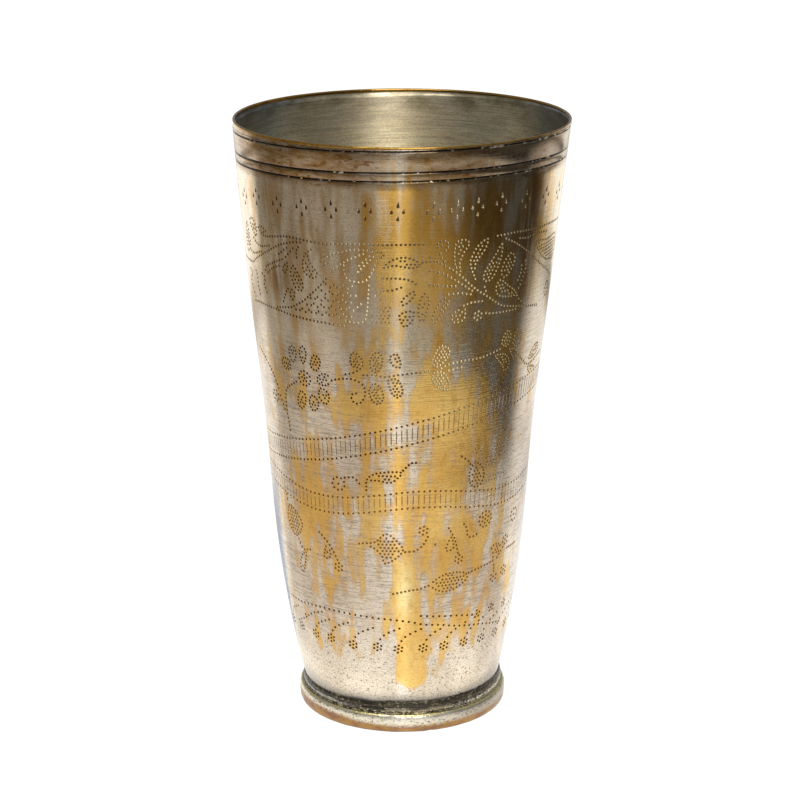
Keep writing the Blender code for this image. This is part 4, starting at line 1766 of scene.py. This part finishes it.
@dataclass
class FloorSolder:
    """Ring of solder that ran into the corner of the wall and the floor: uneven, with lumps."""

    name: str = "floor_solder"
    outline: Outline = (
        (27.2, 6.6), (27.35, 8.6), (27.1, 8.7), (26.8, 8.0), (26.3, 7.3), (25.6, 6.9), (25.2, 6.75),
        (25.2, 6.6))
    lean_right: float = 0.0
    lean_front: float = 0.0
    lump: float = 0.15
    lump_size: float = 1.3
    blobs: tuple[Disc, ...] = ()
    steps: int = 240

    def build(self, finish: bpy.types.Material) -> bpy.types.Object:
        """Builds the seam.

        Args:
            finish: its material.

        Returns:
            The seam's object.
        """
        shape = spun(self.outline, self.steps, True)
        low = min(z for _, z in self.outline)
        high = max(z for _, z in self.outline)
        for vertex in shape.verts:
            point, angle = vertex.co.copy(), angle_of(vertex.co)
            rise, turn = (point.z - low) / (high - low), math.radians(angle)
            swell = 0.25 * noise.noise(Vector((angle * 0.09, low, 0.5))) + 0.12 * noise.noise(point)
            swell += sum(size * math.exp(-((angle - at) / wide) ** 2) for at, wide, size in self.blobs)
            lift = self.lean_right * math.sin(turn) + self.lean_front * math.cos(turn) + swell
            lumps = noise.noise(point / self.lump_size) + swell
            spread = point.xy.normalized() * self.lump * rise * lumps
            vertex.co = point + Vector((spread.x, spread.y, rise * lift))
        return new_piece(self.name, shape, (finish,))


@dataclass
class FootSolder(FloorSolder):
    """Ring of solder that ran between the wall and the foot: thicker, out of level and with a few blobs."""

    name: str = "foot_solder"
    outline: Outline = (
        (28.75, 7.2), (29.3, 7.25), (29.28, 7.6), (29.16, 8.0), (29.02, 8.35), (28.95, 8.55), (28.93, 8.7),
        (28.82, 8.8), (28.62, 8.75))
    lean_right: float = 0.3
    lean_front: float = 0.5
    lump: float = 0.3
    blobs: tuple[Disc, ...] = ((-8.0, 3.0, 0.5), (-14.0, 2.0, 0.3), (24.0, 4.0, -0.3))


@dataclass
class FloorDisc:
    """Floor of the cup: a disc with turned rings and a centre mark."""

    radius: float = 26.9
    base: float = 5.3
    top: float = 6.5
    bevel: float = 0.2
    ring_pitch: float = 1.6
    ring_half: float = 0.4
    ring_depth: float = 0.05
    centre: Outline = ((0.5, 0.15), (0.0, 0.3))
    steps: int = 128

    def build(self, finish: bpy.types.Material) -> bpy.types.Object:
        """Builds the disc.

        Args:
            finish: its material.

        Returns:
            The disc's object.
        """
        top, half = self.top, self.ring_half
        points = [(0.0, self.base), (self.radius, self.base), (self.radius, top - self.bevel),
                  (self.radius - self.bevel, top)]
        for ring in range(int((self.radius - 1.0) / self.ring_pitch), 0, -1):
            middle = ring * self.ring_pitch
            points += [(middle + half, top), (middle, top - self.ring_depth), (middle - half, top)]
        points += [(radius, top - depth) for radius, depth in self.centre]
        return new_piece("tumbler_floor", spun(points, self.steps, False), (finish,))


class Tone(Enum):
    """Plain greys of the unseen mat and cards round the tumbler, as sRGB colours."""

    CLEAR = "#FFFFFF"
    WHITE = "#D5D2CB"
    PALE = "#C2BFBB"
    SOFT = "#A69F98"
    GREY = "#948D85"
    MID = "#888175"
    DIM = "#605A4F"
    DARK = "#302E2A"
    COOL = "#8C96AA"


class Side(Enum):
    """Soft bands of the mat on each side, each tone at its distance from the axis in millimetres."""

    FRONT = ((34, Tone.WHITE), (56, Tone.PALE), (85, Tone.PALE), (115, Tone.GREY), (148, Tone.PALE),
             (198, Tone.WHITE), (228, Tone.MID), (256, Tone.DIM), (290, Tone.MID), (385, Tone.MID),
             (435, Tone.DIM))
    LEFT = ((36, Tone.WHITE), (58, Tone.PALE), (95, Tone.SOFT), (232, Tone.SOFT), (272, Tone.MID),
            (330, Tone.MID), (380, Tone.DIM), (440, Tone.MID), (490, Tone.DIM))
    RIGHT = ((40, Tone.WHITE), (56, Tone.PALE), (115, Tone.SOFT), (150, Tone.SOFT), (176, Tone.GREY),
             (203, Tone.WHITE), (230, Tone.DARK), (280, Tone.DARK), (325, Tone.DIM), (375, Tone.DARK))
    FAR_LEFT = ((165, Tone.WHITE), (215, Tone.PALE), (340, Tone.PALE), (390, Tone.GREY), (430, Tone.MID),
                (490, Tone.WHITE))
    FAR_RIGHT = ((120, Tone.WHITE), (190, Tone.PALE), (240, Tone.SOFT), (290, Tone.PALE), (400, Tone.PALE),
                 (440, Tone.DIM), (485, Tone.DIM), (530, Tone.WHITE))


@dataclass(frozen=True)
class SoftCard:
    """Card with soft edges: four degrees of direction and four millimetres of distance, in rising order."""

    turns: tuple[float, float, float, float]
    reach: tuple[float, float, float, float]
    tone: Tone
    strength: float

    def lay(self, use: Palette, turn: Socket, distance: Socket,
            below: Socket) -> Socket:
        """Lays the card over what is below it.

        Args:
            use: palette of the mat's material.
            turn: direction on the mat, in degrees.
            distance: distance from the tumbler's axis, in millimetres.
            below: colour under the card.

        Returns:
            The colour's socket.
        """
        share = self.strength
        for value, (low, full, still, high) in ((turn, self.turns), (distance, self.reach)):
            share = use.add(Step.TIMES, use.add(Step.RAMP, value, low, full), share)
            share = use.add(Step.TIMES, use.add(Step.RAMP, value, high, still), share)
        return use.add(Step.LAY, share, below, self.tone.value)


@dataclass(frozen=True)
class ReflectingMat:
    """Mat of soft grey bands and cards on the table that only the tumbler's reflections see.

    Distances are in millimetres and directions in degrees from the front towards the right.
    """

    reach: float = 5.5
    lift: float = 0.0006
    strength: float = 2.0
    ramp_end: float = 600.0
    left: Spot = (-6.0, -28.0)
    right: Spot = (20.0, 60.0)
    far_left: Spot = (-116.0, -127.0)
    far_right: Spot = (98.0, 121.0)
    back: Spot = (152.0, 176.0)
    bend_turns: Spot = (45.0, 100.0)
    bend: Spot = (-9.0, 27.0)
    bend_reach: Spot = (60.0, 160.0)
    drift_reach: Spot = (280.0, 450.0)
    drift: float = -10.0
    cards: tuple[SoftCard, ...] = (
        SoftCard((-54, -38, -26, -10), (215, 240, 295, 335), Tone.DARK, 0.44),
        SoftCard((-120, -108, -92, -78), (185, 215, 270, 330), Tone.DARK, 0.28),
        SoftCard((-106, -97, -83, -74), (280, 320, 420, 455), Tone.DARK, 0.26),
        SoftCard((52, 70, 104, 116), (205, 232, 285, 315), Tone.DARK, 0.55),
        SoftCard((-5, -1.5, 2.5, 8), (-50, -10, 90, 150), Tone.CLEAR, 0.38),
        SoftCard((-9, -5.5, -1.5, 4), (90, 160, 255, 315), Tone.CLEAR, 0.33),
        SoftCard((-5, -1.5, 2.5, 8), (260, 320, 440, 490), Tone.CLEAR, 0.28),
        SoftCard((-20, -11, -1, 13), (445, 490, 700, 900), Tone.CLEAR, 0.9))
    cool_cards: tuple[SoftCard, ...] = (
        SoftCard((-182, -181, -138, -124), (-50, -10, 180, 216), Tone.COOL, 1.0),
        SoftCard((110, 124, 181, 182), (-50, -10, 205, 245), Tone.COOL, 0.3))

    def band(self, use: Palette, side: Side, distance: Socket) -> Socket:
        """Wires one side's bands.

        Args:
            use: palette of the mat's material.
            side: side of the mat.
            distance: distance from the tumbler's axis, in millimetres.

        Returns:
            The colour's socket.
        """
        band = use.add(Step.BANDS, use.add(Step.OVER, distance, self.ramp_end))
        stops = band.node.color_ramp.elements
        while len(stops) < len(side.value):
            stops.new(1.0)
        for stop, (place, tone) in zip(stops, side.value):
            stop.position = place / self.ramp_end
            stop.color = linear(tone.value)
        return band

    def colour(self, use: Palette) -> Socket:
        """Wires the mat's colour by distance and direction.

        Args:
            use: palette of the mat's material.

        Returns:
            The colour's socket.
        """
        distance = use.add(Step.OVER, use.add(Step.LENGTH, use.place), MM)
        toward = use.add(Step.TIMES, use.add(Step.BACK, use.place), -1.0)
        turn = use.add(Step.TURN, use.add(Step.ACROSS, use.place), toward)
        turn = use.add(Step.TIMES, turn, math.degrees(1.0))
        bend = use.add(Step.RAMP, turn, *self.bend_turns, *self.bend)
        bend = use.add(Step.TIMES, bend, use.add(Step.RAMP, distance, *self.bend_reach, 0.4, 1.0))
        bent = use.add(Step.PLUS, distance, bend)
        sides = {side: self.band(use, side, bent if side is Side.RIGHT else distance) for side in Side}
        shade = use.add(Step.LAY, use.add(Step.RAMP, turn, *self.left), sides[Side.FRONT], sides[Side.LEFT])
        shade = use.add(Step.LAY, use.add(Step.RAMP, turn, *self.right), shade, sides[Side.RIGHT])
        for card in self.cards:
            shade = card.lay(use, turn, distance, shade)
        slid = use.add(Step.PLUS, turn, use.add(Step.RAMP, distance, *self.drift_reach, 0.0, self.drift))
        shade = use.add(Step.LAY, use.add(Step.RAMP, slid, *self.far_right), shade, sides[Side.FAR_RIGHT])
        shade = use.add(Step.LAY, use.add(Step.RAMP, turn, *self.far_left), shade, sides[Side.FAR_LEFT])
        for card in self.cool_cards:
            shade = card.lay(use, turn, distance, shade)
        behind = use.add(Step.RAMP, use.add(Step.UNSIGNED, turn), *self.back)
        return use.add(Step.LAY, behind, shade, Tone.SOFT.value)

    def build(self) -> None:
        """Lays the mat on the table."""
        # Plain paper lit from below gives the eye nothing but its soft reflections in the metal.
        use = Palette("reflecting_mat")
        use.shine(self.colour(use), self.strength)
        shape = bmesh.new()
        bmesh.ops.create_circle(shape, cap_ends=True, radius=self.reach, segments=48)
        bmesh.ops.translate(shape, vec=(0, 0, self.lift), verts=shape.verts)
        mat = new_piece("reflecting_mat", shape, (use.material,), 1.0)
        mat.visible_camera = False
        mat.visible_shadow = False


@dataclass
class Studio:
    """Lit white table, soft light and the camera at the photograph's place."""

    floor_reach: float = 6.0
    floor_white: str = "#FFFFFF"
    floor_light: float = 1.06
    sky: str = "#F4F6FA"
    sky_light: float = 0.36
    aim: tuple[float, float, float] = (0.0, 0.0, 0.12)
    camera_distance: float = 0.67952
    camera_height: float = 0.29397
    camera_aside: float = -0.000665
    camera_pitch: float = 16.6244
    lens: float = 110.274
    sensor: float = 36.0
    lamps: tuple[tuple[str, tuple[float, float, float], float, float], ...] = (
        ("top_soft_box", (-0.05, -0.35, 1.15), 0.7, 6.0), ("front_soft_box", (0.2, -1.1, 0.62), 0.5, 3.0))

    def build(self) -> None:
        """Builds the floor, mat, lights and camera."""
        shape = bmesh.new()
        bmesh.ops.create_grid(shape, x_segments=8, y_segments=8, size=self.floor_reach)
        # Opal glass lit from below gives the eye an even white ground.
        use = Palette("opal_table")
        use.shine(self.floor_white, self.floor_light)
        floor = new_piece("lit_table", shape, (use.material,), 1.0)
        ReflectingMat().build()
        self.light()
        self.camera()

    def light(self) -> None:
        """Adds a soft sky and large soft lamps."""
        world = bpy.data.worlds.new("soft_sky")
        world.use_nodes = True
        sky = world.node_tree.nodes["Background"]
        sky.inputs["Color"].default_value = linear(self.sky)
        sky.inputs["Strength"].default_value = self.sky_light
        bpy.context.scene.world = world
        for name, place, size, power in self.lamps:
            lamp = bpy.data.lights.new(name, "AREA")
            lamp.shape = "SQUARE"
            lamp.size = size
            lamp.energy = power
            box = bpy.data.objects.new(name, lamp)
            box.location = place
            box.rotation_euler = (Vector(self.aim) - box.location).to_track_quat("-Z", "Y").to_euler()
            bpy.context.scene.collection.objects.link(box)

    def camera(self) -> None:
        """Adds the camera, level from side to side and looking down at the tumbler."""
        lens = bpy.data.cameras.new("camera")
        lens.lens = self.lens
        lens.sensor_width = self.sensor
        lens.clip_start = 0.01
        camera = bpy.data.objects.new("camera", lens)
        camera.location = (self.camera_aside, -self.camera_distance, self.camera_height)
        camera.rotation_euler = (math.radians(90.0 - self.camera_pitch), 0.0, 0.0)
        bpy.context.scene.collection.objects.link(camera)
        bpy.context.scene.camera = camera
        bpy.context.scene.view_settings.view_transform = "Standard"


def dress(piece: bpy.types.Object, node: str) -> None:
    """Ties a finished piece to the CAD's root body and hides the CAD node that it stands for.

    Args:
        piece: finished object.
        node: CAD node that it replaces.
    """
    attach(piece, "root")
    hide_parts(node)
    LOG.info("%s: %d faces", piece.name, len(piece.data.polygons))


def main() -> None:
    """Builds the tumbler's pieces and the studio."""
    logging.basicConfig(level=logging.INFO)
    form = WallForm()
    inner_tin = InnerTin().material()
    dark = OldSolder("dark_solder", "#968A70", "#48443A", (0.50, 0.72))
    grey = OldSolder("grey_solder", "#A39C8C", "#6A6456", (0.40, 0.60))
    wall = TumblerWall(form, Wear()).build(WornTinnedBrass().material(), inner_tin)
    dress(wall, "body_wall")
    dress(FloorDisc().build(inner_tin), "floor_disc")
    dress(FootRing(form).build(FootBrass().material()), "foot_ring")
    dress(FootSolder().build(dark.material()), "outer_solder_seam")
    dress(FloorSolder().build(grey.material()), "inner_solder_seam")
    Studio().build()


if __name__ == "__main__":
    main()
